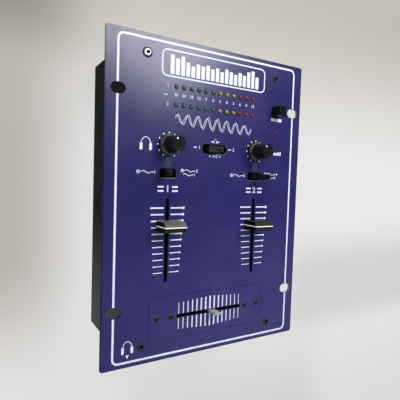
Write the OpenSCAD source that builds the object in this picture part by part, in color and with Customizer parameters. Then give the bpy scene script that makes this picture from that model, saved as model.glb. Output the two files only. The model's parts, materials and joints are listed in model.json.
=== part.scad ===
// Two-channel DJ mixer, lying on its feet with its controls facing up.
// X runs across the panel, Y from the front edge to the rear edge, Z up out of the panel.
// The origin is on the floor, under the middle of the face panel.

/* [Face panel] */
// Width of the face panel, across the rack slots
panel_w = 254; // [254:0.5:290]
// Length of the face panel, from the front edge to the rear edge
panel_l = 341; // [336:0.1:380]
// Thickness of the face panel and of the crossfader plate
panel_t = 2; // [1.5:0.1:3]
// Radius of the face panel's corners
panel_corner_r = 2.5; // [1:0.5:6]
// Distance between the rack slots, across the panel
rack_pitch_x = 227.4; // [227.2:0.1:232]
// Distance between the rack slots, along the panel
rack_pitch_y = 223.6; // [200:0.1:260]
// Length of a rack slot, end to end
rack_slot_l = 15.5; // [12:0.1:15.7]
// Width of a rack slot
rack_slot_w = 10.8; // [6:0.1:11]

/* [Printing] */
// Thickness of the white ink
ink_t = 0.12; // [0.1:0.01:0.3]
// Width of the white line round the panel
frame_line_w = 2.2; // [1:0.1:4]
// Distance from the panel's sides to the middle of that line
frame_inset_x = 12.7; // [9:0.05:16]
// Distance from the panel's front and rear edges to the middle of that line
frame_inset_y = 5.4; // [4.4:0.05:9]
// Outer radius of that line's corners
frame_line_r = 7; // [4:0.5:12]

/* [Chassis] */
// Width of the chassis, outside
chassis_w = 211.2; // [208:0.1:211.4]
// Length of the chassis, outside
chassis_l = 317.5; // [314:0.5:330]
// Height of the chassis, from its underside to the back of the face panel
chassis_h = 112.3; // [100:0.1:140]
// Thickness of the chassis sheet steel
sheet_t = 1.2; // [0.8:0.1:1.6]
// Width of the folded flanges on the front and rear walls
flange_w = 13; // [9:0.5:14]
// Height of a rubber foot
foot_h = 5; // [3:0.5:12]
// Radius of a rubber foot
foot_r = 9; // [7:0.5:14]
// Distance from the middle of the chassis to a foot, across
foot_x = 88; // [60:1:92]
// Distance from the middle of the chassis to a foot, along
foot_y = 128; // [100:1:132]

/* [Fasteners] */
// Distance from the middle line to a panel screw
panel_screw_x = 84; // [75:0.5:92]
// Radius of a panel screw's head
panel_screw_head_r = 3.8; // [3:0.1:3.9]
// Radius of a panel screw's thread
panel_screw_r = 1.9; // [1.5:0.1:2.2]
// Radius of a small screw's head
small_head_r = 2.4; // [2.2:0.1:2.8]
// Radius of a small screw's thread
small_screw_r = 1.4; // [1.2:0.05:1.5]
// Clearance round a screw in its hole
screw_gap = 0.15; // [0.1:0.05:0.3]

/* [Channel layout] */
// Distance from the middle line to each channel's controls
channel_x = 57.5; // [50:0.5:62]
// Height of the knobs along the panel
knob_y = 60.5; // [59:0.5:64]
// Height of the source switches along the panel
source_y = 30.7; // [26:0.1:32]
// Height of the middle of the channel faders along the panel
fader_y = -40.8; // [-42:0.1:-38]
// Height of the crossfader along the panel
crossfader_y = -125.2; // [-126:0.1:-124]

/* [Faders] */
// Length of a channel fader's slot in the panel
fader_slot_l = 90; // [86:0.5:91]
// Width of a channel fader's slot
fader_slot_w = 4; // [3:0.1:4.4]
// Travel of a channel fader
fader_travel = 69.2; // [60:0.1:72]
// Resting place of fader 1, up from the middle of its travel
fader_rest_1 = 16; // [-30:0.1:30]
// Resting place of fader 2, up from the middle of its travel
fader_rest_2 = 13.6; // [-30:0.1:30]
// Width of a fader cap, across its slot
cap_w = 25.4; // [20:0.1:28]
// Length of a fader cap, along its slot
cap_l = 11; // [10:0.1:14]
// Height of a fader cap
cap_h = 21.8; // [18:0.1:24]
// Gap between a fader cap and the panel
cap_lift = 1.2; // [0.8:0.1:2]
// Height of the sloped part of a fader cap
cap_slope_h = 3.5; // [2.5:0.5:8]
// Width of the flat ridge on top of a fader cap
cap_ridge_w = 2; // [1.8:0.1:3]
// Width of the white line on a fader cap
cap_line_w = 1.3; // [0.8:0.1:1.6]
// Depth of the white line in a fader cap
cap_line_d = 0.5; // [0.3:0.1:0.8]
// Width of a channel fader's metal lever, along its slot
lever_w = 5; // [4:0.1:6]
// Thickness of a channel fader's metal lever
lever_t = 1.3; // [1:0.1:1.6]

/* [Crossfader] */
// Width of the crossfader plate
xplate_w = 150; // [142:0.5:158]
// Length of the crossfader plate, front to rear
xplate_l = 48; // [44:0.5:48]
// Gap round the crossfader plate
xplate_gap = 0.3; // [0.2:0.05:0.5]
// Length of the crossfader's slot
xslot_l = 86; // [84:0.5:90]
// Width of the crossfader's slot
xslot_w = 4; // [3.8:0.1:4.4]
// Travel of the crossfader
xtravel = 76; // [60:1:77]
// Resting place of the crossfader, right of the middle
xrest = 2.4; // [-20:0.1:20]
// Width of the crossfader's bare metal lever
xlever_w = 8.6; // [5:0.1:8.8]
// Thickness of the crossfader's lever
xlever_t = 2.4; // [1.3:0.1:2.5]
// Height of the bare lever above the panel
xlever_h = 15; // [10:0.5:18]
// Distance from the crossfader plate's ends to its own screws
xplate_screw_inset = 8; // [6:0.5:9]
// Radius of the crossfader screws' heads
xplate_screw_head_r = 3.6; // [2.4:0.1:3.8]
// Distance from the middle to the screws that hold the crossfader
xfader_screw_x = 49.4; // [48.5:0.1:51]

/* [Knobs] */
// Radius of a knob's skirt
skirt_r = 11.7; // [10:0.1:11.8]
// Radius of a knob's grip where it meets the skirt
grip_root_r = 9; // [8.6:0.1:9.4]
// Radius of a knob's grip at its top
grip_top_r = 7.9; // [7.6:0.1:8.4]
// Height of a knob's top above the panel
knob_h = 23.5; // [21:0.5:28]
// Gap between a knob's skirt and the panel
knob_lift = 0.8; // [0.6:0.1:1.5]
// Radius of a potentiometer's shaft
shaft_r = 3; // [2.5:0.1:3.2]
// Radial clearance of the shaft in its bushing
shaft_gap = 0.05; // [0.02:0.01:0.08]
// Distance from a knob's axis to its white dot
dot_ring_r = 5.4; // [4.5:0.1:5.6]
// Radius of a knob's white dot
dot_r = 1; // [0.6:0.1:1.2]
// Direction of the phones knob's dot, anticlockwise from the right
phones_dot_angle = 108; // [0:1:360]
// Direction of the master knob's dot, anticlockwise from the right
master_dot_angle = 115; // [0:1:360]
// Distance from a knob's axis to the dots of its printed scale
scale_ring_r = 12.7; // [12.5:0.1:14]

/* [Switches] */
// Length of a source switch's slot in the panel
source_slot_l = 20.6; // [18:0.1:22]
// Width of a source switch's slot
source_slot_w = 10; // [9.6:0.1:10.5]
// Length of a source lever, from its pivot to its tip
source_lever_l = 28; // [22:0.5:32]
// Lean of a source lever to either side
source_lean = 14.5; // [10:0.5:18]
// Depth of a source lever's pivot below the panel's face
source_pivot_d = 6.5; // [6:0.1:7.5]
// Radius of a source lever's pivot pin
source_pin_r = 1; // [0.8:0.05:1.2]
// Radial clearance of that pin
source_pin_gap = 0.05; // [0.02:0.01:0.08]
// Length of the cue switch's slot in the panel
cue_slot_l = 32.8; // [29:0.1:34]
// Width of the cue switch's slot
cue_slot_w = 10.7; // [10:0.1:12]
// Length of the cue switch's slider
cue_slider_l = 19; // [17:0.1:20]
// Width of the cue switch's slider
cue_slider_w = 7.2; // [6.5:0.1:9]
// Height of the cue slider above the panel
cue_slider_h = 3.5; // [1:0.1:6]
// Travel of the cue slider to either side
cue_travel = 5; // [3:0.1:5.2]
// Place of the power button, right of the middle line
power_x = 86.8; // [86:0.1:88]
// Place of the power button along the panel
power_y = 111; // [108:0.1:112]
// Width of the power button
button_w = 10.5; // [9:0.1:12]
// Length of the power button
button_l = 11.6; // [10:0.1:13]
// Height of the power button above the panel
button_h = 13.2; // [6:0.1:14]
// Travel of the power button
button_travel = 3.5; // [2:0.1:3.6]
// Gap round the power button
button_gap = 0.5; // [0.4:0.1:0.8]

/* [Level meter] */
// Radius of a light-emitting diode
led_r = 2.5; // [2:0.1:2.6]
// Height of a diode from its flange to its tip
led_h = 8.6; // [8:0.1:9]
// Height of a diode's tip above the panel
led_proud = 2; // [0.5:0.1:2.3]
// Distance between neighbouring diodes in a row
led_pitch = 9.2; // [8:0.1:9.6]
// Height of the upper row along the panel
led_row_1_y = 121.7; // [119:0.1:122.5]
// Height of the lower row along the panel
led_row_2_y = 102.7; // [101:0.1:103.5]
// Place of the power diode, right of the middle line
power_led_x = 89; // [88:0.1:90]
// Height of the power diode along the panel
power_led_y = 84.6; // [83:0.1:86]

/* [Boards] */
// Thickness of a circuit board
board_t = 1.6; // [1:0.1:2]
// Gap between the back of the panel and the main board
board_gap = 16; // [15.5:0.1:17]
// Width of the main board
board_w = 196; // [192:1:204]
// Front edge of the main board
board_front_y = -95; // [-97:0.5:-93]
// Rear edge of the main board
board_rear_y = 92; // [90:0.5:93]
// Radius of a board spacer, across its corners
spacer_r = 3.2; // [2.6:0.1:3.6]

/* [Rear connectors] */
// Outer radius of a phono socket's sleeve
rca_r = 4.15; // [4:0.01:4.3]
// Wall of a phono socket's sleeve
rca_wall = 0.8; // [0.5:0.1:1]
// Length of a phono socket outside the rear wall
rca_l = 9.5; // [8:0.1:11]
// Distance between the sockets of a block, across
rca_pitch_x = 14; // [13:0.1:16]
// Distance between the sockets of a block, up
rca_pitch_z = 15; // [14:0.1:18]
// Distance between neighbouring socket blocks
rca_block_pitch = 38; // [34:0.5:40]
// Height of the rear connectors above the chassis' underside
rear_row_h = 70; // [50:1:72]
// Depth of a socket block behind the rear wall
rca_block_d = 12; // [10:0.5:16]
// Place of the mains inlet, right of the middle line
inlet_x = 72; // [66:0.5:76]
// Width of the mains inlet's opening
inlet_w = 24; // [22:0.1:25]
// Height of the mains inlet's opening
inlet_h = 16.6; // [15:0.1:18]
// Depth of the mains inlet's opening
inlet_d = 17; // [15:0.5:19]

/* [Headphone socket] */
// Place of the headphone socket, left of the middle line
jack_x = 96; // [90:0.5:96.5]
// Height of the headphone socket above the chassis' underside
jack_h = 72; // [30:1:80]
// Radius of the socket's bore
jack_bore_r = 3.2; // [3.18:0.01:3.3]
// Length of the socket's bore
jack_bore_l = 32; // [28:1:36]
// Radius of the socket's threaded bushing
jack_bush_r = 4.6; // [4.3:0.1:5]
// Length of the bushing outside the front wall
jack_bush_l = 4.5; // [4:0.1:6]

/* [Power supply] */
// Width of the transformer's core
core_w = 57; // [45:1:62]
// Height of the transformer's core
core_h = 46; // [38:1:52]
// Thickness of the transformer's core
core_d = 28; // [22:1:34]
// Place of the transformer, right of the middle line
core_x = 60; // [58:1:62]
// Place of the transformer along the chassis
core_y = 84; // [76:1:96]

/* [Hidden] */

$fn = 48;

// Heights above the floor
floor_z = foot_h + sheet_t;
panel_z = foot_h + chassis_h;
face_z = panel_z + panel_t;
board_z = panel_z - board_gap;
led_base_z = face_z + led_proud - led_h;

// The chassis' inner faces
inner_x = chassis_w / 2 - sheet_t;
inner_y = chassis_l / 2 - sheet_t;
// The panel screws go through the flanges' middles
panel_screw_y = inner_y - flange_w / 2;
clinch_r = 3.7;
clinch_h = 3;
// Places across the chassis of the screws in its front and rear walls' lower flanges
wall_screw_xs = [-60, 0, 60];
// Slots in the floor, which let the warm air out
vent_l = 26;
vent_w = 4;
vent_pitch_x = 12;
vent_pitch_y = 40;
// How far a cut runs past the face that it opens
cut = 1;

// Printed marks
scale_steps = 10;
scale_pitch = fader_travel / scale_steps;
scale_half_top = 19.4;
scale_half_bottom = 14.7;
scale_line_top = 1.6;
scale_line_bottom = 0.9;
scale_gap = 4;
xscale_steps = 14;
xscale_pitch = 5.75;
xscale_half_mid = 17.3;
xscale_half_end = 14.4;
xscale_line_mid = 2;
xscale_line_end = 0.8;
xscale_gap = 2.4;
knob_scale_from = -60;
knob_scale_step = 30;
knob_scale_dots = 11;
knob_scale_dot_r = 0.85;

// Faders
carriage_l = 10;
carriage_w = 5.6;
carriage_h = 4;
fader_can_w = 9;
fader_can_h = 8;
fader_can_wall = 1;
fader_can_l = fader_travel + carriage_l + 2 * (fader_can_wall + 2);
// Room for a lever in the slot of its can
lever_play = 1;
carriage_gap = 0.4;
lever_in_cap = 12;
cap_pocket_gap = 0.1;
lever_top_z = face_z + cap_lift + lever_in_cap;
xcan_l = xtravel + carriage_l + 2 * (fader_can_wall + 0.5);
xcan_z = panel_z - sheet_t - fader_can_h;
xflange_end = 4.5;
xflange_l = 2 * (xfader_screw_x + xflange_end);
xflange_w = 13;
xplate_screw_x = xplate_w / 2 - xplate_screw_inset;
// A bracket reaches from just inside the plate's screw to well past the plate's end
bracket_inner = 5;
bracket_outer = 11;
bracket_w = bracket_inner + xplate_screw_inset + bracket_outer;
bracket_l = 24;
bracket_t = 1.5;
bracket_x = xplate_screw_x - bracket_inner + bracket_w / 2;

// Potentiometers
pot_w = 17;
pot_h = 9;
bush_r = 3.9;
bush_top = 3;
nut_r = 6.2;
nut_h = 2.2;
knob_pocket_r = 7.6;
knob_pocket_top = 4.4;
skirt_edge_h = 2;
skirt_top = 5.6;
shaft_top = 18;
shaft_in_pot = 5;
knob_bore_gap = 0.02;
knob_edge = 0.7;
dot_d = 0.6;

// Switches
switch_wall = 1.4;
switch_clear = 0.2;
source_slot_r = 3;
source_well_z = board_z + 6;
source_pivot_z = face_z - source_pivot_d;
source_barrel_r = 3.4;
source_barrel_gap = 0.4;
source_root_w = 7;
source_tip_w = 5;
source_root_d = 8;
source_tip_d = 5.5;
cue_slot_r = 4.9;
cue_drop = 1.1;
cue_y = knob_y - cue_drop;
cue_well_z = board_z + 9.5;
cue_stem_w = 6;
cue_stem_d = 4;
cue_stem_h = 7;
cue_stem_gap = 0.4;
cue_rib_pitch = 2.4;
cue_rib_w = 0.8;
cue_rib_h = 0.5;
button_corner_r = 0.8;
power_base_h = 7;
button_foot_gap = 1;
button_foot_z = board_z + power_base_h + button_travel + button_foot_gap;
plunger_w = 4.4;
plunger_gap = 0.4;
plunger_z = board_z + 4;

// Level meter
led_count = 12;
led_green = 6;
led_yellow = 3;
led_flange = 0.4;
led_flange_h = 1;
led_hole_gap = 0.1;
led_row_l = (led_count - 1) * led_pitch;
led_board_margin_x = 11;
led_board_margin = 8;
led_board_w = led_row_l + 2 * led_board_margin_x;
led_mid_y = (led_row_1_y + led_row_2_y) / 2;
led_spacer_out = 7;
led_spacer_x = led_row_l / 2 + led_spacer_out;

// Boards
board_tab_margin_x = 11;
board_tab_margin_y = 9.5;
board_tab_x = power_x - button_w / 2 - board_tab_margin_x;
board_tab_y = power_y + button_l / 2 + board_tab_margin_y;
spacer_xy = [[-92, 84], [92, 68], [-92, -4], [92, -4], [-92, -88], [92, -88], [0, 18], [0, -86]];
led_spacer_xy = [[-led_spacer_x, led_mid_y], [led_spacer_x, led_mid_y]];
screw_l = 6;
chip_size = [10, 6.4, 3.4];
chip_pitch_x = 18;
chip_pitch_y = 23;
chip_inset_y = 34;
chip_xs = [for (i = [-1.5, -0.5, 0.5, 1.5]) i * chip_pitch_x];
chip_ys = [for (i = [0:2]) board_front_y + chip_inset_y + i * chip_pitch_y];
board_cap_r = 2.5;
board_cap_h = 9;
board_cap_inset_y = 22;
board_cap_xs = [for (i = [-2, -1, 1, 2]) i * chip_pitch_x];
board_cap_ys = [for (i = [0:3]) board_front_y + board_cap_inset_y + i * chip_pitch_y];

// Rear connectors
rear_y = chassis_l / 2;
rear_z = foot_h + rear_row_h;
rca_block_margin = 7.5;
rca_block_w = rca_pitch_x + 2 * rca_block_margin;
rca_block_h = rca_pitch_z + 2 * rca_block_margin;
rca_first_x = -81;
rca_blocks_x = [for (i = [0:2]) rca_first_x + i * rca_block_pitch];
rca_ring_r = rca_r + 1.5;
rca_ring_h = 1;
rca_insert_gap = 0.05;
rca_core_r = 1.6;
rca_insert_short = 1.5;
rca_hole_gap = 0.1;
io_y = inner_y - rca_block_d;
io_x0 = rca_blocks_x[0] - rca_block_w / 2;
io_end = 4;
io_x1 = rca_blocks_x[2] + rca_block_w / 2 + io_end;
io_margin_z = 10;
io_h = rca_block_h + 2 * io_margin_z;
ground_x = 24;
ground_r = 2;
ground_l = 12;
ground_nut_r = 4.4;
ground_nut_h = 1.6;
ground_back_h = 4;
ground_knob_r = 5;
ground_knob_h = 4.6;
ground_knob_lift = 3;
inlet_wall = 1.5;
inlet_flange_w = 50;
inlet_flange_h = 24;
inlet_flange_t = 2.5;
inlet_screw_x = 20;
inlet_cut_gap = 0.3;
inlet_back = 5;
inlet_pin_back = 5;
inlet_pin_w = 4;
inlet_pin_t = 2;
inlet_pin_x = 7;
inlet_pin_z = 2.5;

// Headphone socket
jack_z = foot_h + jack_h;
jack_body_w = 15;
jack_body_h = 16;
jack_thread_gap = 0.1;
jack_nut_r = 7;
jack_nut_h = 2.5;

// Power supply
strap_t = 1.5;
strap_foot = 12;
coil_w = 36;
coil_h = 30;
coil_d = 48;
core_leg = 16;
strap_l = 20;
supply_x = -28;
supply_y = 84;
supply_w = 88;
supply_l = 60;
supply_lift = 8;
supply_inset = 5;
supply_cap_x = -20;
supply_cap_pitch = 24;
supply_cap_r = 8;
supply_cap_h = 26;
sink_x = 20;
sink_w = 40;
sink_h = 30;
sink_back = 4;
sink_fin_l = 8;
sink_fin_t = 1.5;
sink_fin_pitch = 6;
sink_depth = sink_back + sink_fin_l;

// Ribbon cable
plug_w = 24;
plug_t = 5;
plug_h = 6;
ribbon_x = -40;
ribbon_y = 84;
ribbon_w = 20;
ribbon_t = 1;
ribbon_z = board_z - board_t - plug_h - 8;

// Rounded rectangle, centred
module rounded(w, l, r) {
    square([w - 2 * r, l], center = true);
    square([w, l - 2 * r], center = true);
    for (sx = [-1, 1], sy = [-1, 1]) {
        translate([sx * (w / 2 - r), sy * (l / 2 - r)]) circle(r);
    }
}

// Slot with round ends along X, centred
module stadium(l, w) {
    square([l - w, w], center = true);
    for (s = [-1, 1]) {
        translate([s * (l - w) / 2, 0]) circle(w / 2);
    }
}

// Rounded plate standing on its own base
module plate(w, l, h, r) {
    linear_extrude(h) rounded(w, l, r);
}

// Box centred across and along, standing on its own base
module block(w, l, h) {
    translate([-w / 2, -l / 2, 0]) cube([w, l, h]);
}

// Screw with a domed, cross-slotted head, seated at z = 0 with its thread pointing down
module screw(head_r, head_h, thread_r, thread_l) {
    dome_r = (head_r * head_r + head_h * head_h) / (2 * head_h);
    slot_w = head_r * 0.28;
    slot_l = head_r * 1.15;
    difference() {
        intersection() {
            translate([0, 0, head_h - dome_r]) sphere(dome_r);
            cylinder(r = head_r, h = head_h);
        }
        for (a = [0, 90]) {
            rotate(a) translate([-slot_l / 2, -slot_w / 2, head_h * 0.45]) cube([slot_l, slot_w, head_h]);
        }
    }
    translate([0, 0, -thread_l]) cylinder(r = thread_r, h = thread_l);
}

// Places its child at the four corners of a rectangle
module corners(x, y) {
    for (sx = [-1, 1], sy = [-1, 1]) {
        translate([sx * x, sy * y, 0]) children();
    }
}

// Face panel

function led_x(i) = (i - (led_count - 1) / 2) * led_pitch;

module face_panel() {
    color([0.13, 0.13, 0.36]) difference() {
        translate([0, 0, panel_z]) plate(panel_w, panel_l, panel_t, panel_corner_r);
        translate([0, 0, panel_z - cut]) panel_cuts(panel_t + 2 * cut);
    }
}

module panel_cuts(h) {
    corners(rack_pitch_x / 2, rack_pitch_y / 2) linear_extrude(h) stadium(rack_slot_l, rack_slot_w);
    corners(panel_screw_x, panel_screw_y) cylinder(r = panel_screw_r + screw_gap, h = h);
    translate([0, crossfader_y, 0]) plate(xplate_w + 2 * xplate_gap, xplate_l + 2 * xplate_gap, h, 1.5);
    for (s = [-1, 1]) {
        translate([s * channel_x, fader_y, 0]) rotate(90) linear_extrude(h) stadium(fader_slot_l, fader_slot_w);
        translate([s * channel_x, knob_y, 0]) cylinder(r = bush_r + screw_gap, h = h);
        translate([s * channel_x, source_y, 0]) plate(source_slot_l, source_slot_w, h, source_slot_r);
    }
    translate([0, cue_y, 0]) plate(cue_slot_l, cue_slot_w, h, cue_slot_r);
    translate([power_x, power_y, 0]) plate(button_w + 2 * button_gap, button_l + 2 * button_gap, h, 1);
    for (i = [0:led_count - 1], y = [led_row_1_y, led_row_2_y]) {
        translate([led_x(i), y, 0]) cylinder(r = led_r + led_hole_gap, h = h);
    }
    translate([power_led_x, power_led_y, 0]) cylinder(r = led_r + led_hole_gap, h = h);
}

module panel_print() {
    color("white") translate([0, 0, face_z]) {
        difference() {
            linear_extrude(ink_t) frame_line();
            translate([0, 0, -cut]) corners(rack_pitch_x / 2, rack_pitch_y / 2) {
                linear_extrude(3 * cut) stadium(rack_slot_l + 1, rack_slot_w + 1);
            }
        }
        for (s = [-1, 1]) {
            translate([s * channel_x, fader_y, 0]) fader_scale();
            translate([s * channel_x, knob_y, 0]) knob_scale();
        }
        translate([0, crossfader_y, 0]) crossfader_scale();
    }
}

// White line round the panel
module frame_line() {
    w = panel_w - 2 * frame_inset_x + frame_line_w;
    l = panel_l - 2 * frame_inset_y + frame_line_w;
    difference() {
        rounded(w, l, frame_line_r);
        rounded(w - 2 * frame_line_w, l - 2 * frame_line_w, frame_line_r - frame_line_w);
    }
}

// Eleven pairs of lines beside a channel fader, shorter and thinner towards the front
module fader_scale() {
    for (i = [0:scale_steps]) {
        share = i / scale_steps;
        half = scale_half_top + (scale_half_bottom - scale_half_top) * share;
        line = scale_line_top + (scale_line_bottom - scale_line_top) * share;
        translate([0, fader_travel / 2 - i * scale_pitch, 0]) {
            for (s = [-1, 1]) {
                translate([s * (half + scale_gap) / 2, 0, 0]) block(half - scale_gap, line, ink_t);
            }
            translate([half, 0, 0]) cylinder(r = line * 0.95, h = ink_t, $fn = 24);
        }
    }
}

// Ring of dots round a knob
module knob_scale() {
    for (i = [0:knob_scale_dots - 1]) {
        rotate(knob_scale_from + i * knob_scale_step) translate([scale_ring_r, 0, 0]) {
            cylinder(r = knob_scale_dot_r, h = ink_t, $fn = 24);
        }
    }
}

// Fifteen pairs of lines beside the crossfader, longest and thickest in the middle
module crossfader_scale() {
    for (i = [0:xscale_steps]) {
        share = abs(i - xscale_steps / 2) / (xscale_steps / 2);
        half = xscale_half_mid + (xscale_half_end - xscale_half_mid) * share;
        line = xscale_line_mid + (xscale_line_end - xscale_line_mid) * share;
        for (s = [-1, 1]) {
            translate([(i - xscale_steps / 2) * xscale_pitch, s * (half + xscale_gap) / 2, 0]) {
                block(line, half - xscale_gap, ink_t);
            }
        }
    }
}

// Chassis

module chassis_wrap() {
    color([0.12, 0.12, 0.12]) difference() {
        union() {
            translate([0, 0, foot_h]) block(chassis_w, chassis_l, sheet_t);
            for (s = [-1, 1]) {
                translate([s * (chassis_w - sheet_t) / 2, 0, foot_h]) block(sheet_t, chassis_l, chassis_h);
            }
        }
        translate([0, 0, foot_h - cut]) {
            floor_holes() cylinder(r = small_screw_r + screw_gap, h = sheet_t + 2 * cut);
            for (i = [-4:4], j = [-1:1]) {
                translate([i * vent_pitch_x, j * vent_pitch_y, 0]) rotate(90) {
                    linear_extrude(sheet_t + 2 * cut) stadium(vent_l, vent_w);
                }
            }
        }
    }
}

// Places its child at every screw that comes up through the floor
module floor_holes() {
    corners(foot_x, foot_y) children();
    wall_screws() children();
    strap_screws() children();
    supply_screws() children();
}

module wall_screws() {
    for (x = wall_screw_xs, s = [-1, 1]) {
        translate([x, s * (inner_y - flange_w / 2), 0]) children();
    }
}

// A wall of the chassis with its upper and lower flanges, on the rear side
module wall() {
    difference() {
        union() {
            translate([-inner_x, inner_y, floor_z]) cube([2 * inner_x, sheet_t, panel_z - floor_z]);
            translate([-inner_x, inner_y - flange_w, floor_z]) cube([2 * inner_x, flange_w, sheet_t]);
            translate([-inner_x + 4, inner_y - flange_w, panel_z - sheet_t]) {
                cube([2 * inner_x - 8, flange_w, sheet_t]);
            }
            for (s = [-1, 1]) {
                translate([s * panel_screw_x, panel_screw_y, panel_z - sheet_t - clinch_h]) {
                    cylinder(r = clinch_r, h = clinch_h);
                }
            }
        }
        for (s = [-1, 1]) {
            translate([s * panel_screw_x, panel_screw_y, panel_z - sheet_t - clinch_h - cut]) {
                cylinder(r = panel_screw_r + screw_gap, h = sheet_t + clinch_h + 2 * cut);
            }
        }
        for (x = wall_screw_xs) {
            translate([x, inner_y - flange_w / 2, floor_z - cut]) {
                cylinder(r = small_screw_r + screw_gap, h = sheet_t + 2 * cut);
            }
        }
    }
}

module front_wall() {
    color([0.12, 0.12, 0.12]) difference() {
        mirror([0, 1, 0]) wall();
        translate([-jack_x, -inner_y + cut, jack_z]) rotate([90, 0, 0]) {
            cylinder(r = jack_bush_r + jack_thread_gap, h = sheet_t + 2 * cut);
        }
    }
}

module rear_wall() {
    color([0.12, 0.12, 0.12]) difference() {
        wall();
        sockets() rear_hole(rca_r - rca_wall + rca_hole_gap);
        translate([ground_x, 0, rear_z]) rear_hole(ground_r + screw_gap);
        translate([inlet_x, 0, rear_z]) {
            for (s = [-1, 1]) {
                translate([s * inlet_screw_x, 0, 0]) rear_hole(small_screw_r + screw_gap);
            }
            translate([0, inner_y - cut, -inlet_h / 2 - inlet_wall - inlet_cut_gap]) {
                w = inlet_w + 2 * (inlet_wall + inlet_cut_gap);
                translate([-w / 2, 0, 0]) cube([w, sheet_t + 2 * cut, inlet_h + 2 * (inlet_wall + inlet_cut_gap)]);
            }
        }
    }
}

// Round hole through the rear wall
module rear_hole(r) {
    translate([0, inner_y - cut, 0]) rotate([-90, 0, 0]) cylinder(r = r, h = sheet_t + 2 * cut);
}

module rubber_feet() {
    color([0.05, 0.05, 0.05]) corners(foot_x, foot_y) difference() {
        rotate_extrude() polygon([
            [0, 0], [foot_r - 1.5, 0], [foot_r - 0.8, 0.7], [foot_r, foot_h], [0, foot_h],
        ]);
        translate([0, 0, -cut]) cylinder(r = small_head_r + 0.8, h = foot_h / 2 + cut);
        cylinder(r = small_screw_r + screw_gap, h = foot_h + cut);
    }
}

module chassis_screws() {
    color([0.2, 0.2, 0.2]) {
        corners(foot_x, foot_y) translate([0, 0, foot_h / 2]) rotate([180, 0, 0]) {
            screw(small_head_r, 1.4, small_screw_r, foot_h / 2 + sheet_t + 3);
        }
        translate([0, 0, foot_h]) {
            wall_screws() rotate([180, 0, 0]) screw(small_head_r, 1.4, small_screw_r, 2 * sheet_t + 2);
            strap_screws() rotate([180, 0, 0]) screw(small_head_r, 1.4, small_screw_r, sheet_t + strap_t + 2);
            supply_screws() rotate([180, 0, 0]) {
                screw(small_head_r, 1.4, small_screw_r, sheet_t + supply_lift / 2);
            }
        }
        for (s = [-1, 1]) {
            translate([inlet_x + s * inlet_screw_x, rear_y + inlet_flange_t, rear_z]) rotate([-90, 0, 0]) {
                screw(small_head_r, 1.4, small_screw_r, inlet_flange_t + sheet_t + 3);
            }
        }
    }
}

module panel_screws() {
    color([0.1, 0.1, 0.1]) {
        corners(panel_screw_x, panel_screw_y) translate([0, 0, face_z]) {
            screw(panel_screw_head_r, 2.2, panel_screw_r, panel_t + sheet_t + clinch_h);
        }
    }
}

// Crossfader

module crossfader_plate() {
    color([0.13, 0.13, 0.36]) translate([0, crossfader_y, panel_z]) difference() {
        plate(xplate_w, xplate_l, panel_t, 1.2);
        translate([0, 0, -cut]) {
            linear_extrude(panel_t + 2 * cut) stadium(xslot_l, xslot_w);
            for (x = [-xplate_screw_x, -xfader_screw_x, xfader_screw_x, xplate_screw_x]) {
                translate([x, 0, 0]) cylinder(r = small_screw_r + screw_gap, h = panel_t + 2 * cut);
            }
        }
    }
}

// Two strips behind the panel, which carry the ends of the crossfader plate
module crossfader_brackets() {
    color([0.6, 0.6, 0.58]) {
        for (s = [-1, 1]) {
            difference() {
                translate([s * bracket_x, crossfader_y, panel_z - bracket_t]) block(bracket_w, bracket_l, bracket_t);
                translate([s * xplate_screw_x, crossfader_y, panel_z - bracket_t - cut]) {
                    cylinder(r = small_screw_r + screw_gap, h = bracket_t + 2 * cut);
                }
            }
        }
    }
}

module crossfader_screws() {
    color([0.1, 0.1, 0.1]) {
        for (x = [-xplate_screw_x, -xfader_screw_x, xfader_screw_x, xplate_screw_x]) {
            translate([x, crossfader_y, face_z]) screw(xplate_screw_head_r, 1, small_screw_r, panel_t + bracket_t + 1.5);
        }
    }
}

// Closed metal can of a slide fader along X, standing on z = 0, open through its upper slot
module fader_can(l, slot_l, slot_w) {
    difference() {
        block(l, fader_can_w, fader_can_h);
        translate([0, 0, fader_can_wall]) {
            block(l - 2 * fader_can_wall, fader_can_w - 2 * fader_can_wall, fader_can_h - 2 * fader_can_wall);
        }
        translate([0, 0, fader_can_h - 2 * fader_can_wall]) block(slot_l, slot_w, 3 * fader_can_wall);
    }
}

// Carriage and lever of a slide fader along X, for a can that stands on z = 0
module fader_lever(w, t, top) {
    translate([0, 0, fader_can_wall + carriage_gap]) block(carriage_l, carriage_w, carriage_h);
    translate([0, 0, fader_can_wall + carriage_gap + carriage_h]) {
        block(w, t, top - fader_can_wall - carriage_gap - carriage_h);
    }
}

module crossfader_body() {
    color([0.1, 0.1, 0.1]) {
        translate([0, crossfader_y, xcan_z]) fader_can(xcan_l, xslot_l, xlever_t + lever_play);
        translate([0, crossfader_y, panel_z - sheet_t]) difference() {
            block(xflange_l, xflange_w, sheet_t);
            translate([0, 0, -cut]) {
                linear_extrude(sheet_t + 2 * cut) stadium(xslot_l, xslot_w);
                for (s = [-1, 1]) {
                    translate([s * xfader_screw_x, 0, 0]) {
                        cylinder(r = small_screw_r + screw_gap, h = sheet_t + 2 * cut);
                    }
                }
            }
        }
    }
}

module crossfader_lever() {
    color([0.7, 0.7, 0.66]) translate([xrest, crossfader_y, xcan_z]) {
        fader_lever(xlever_w, xlever_t, face_z + xlever_h - xcan_z);
    }
}

// Channel faders

module channel_fader_bodies() {
    color([0.1, 0.1, 0.1]) {
        for (s = [-1, 1]) {
            translate([s * channel_x, fader_y, board_z]) rotate(90) {
                fader_can(fader_can_l, fader_travel + lever_w + 2, lever_t + lever_play);
            }
        }
    }
}

module channel_lever(x, rest) {
    color([0.7, 0.7, 0.66]) translate([x, fader_y + rest, board_z]) rotate(90) {
        fader_lever(lever_w, lever_t, lever_top_z - board_z);
    }
}

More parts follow.
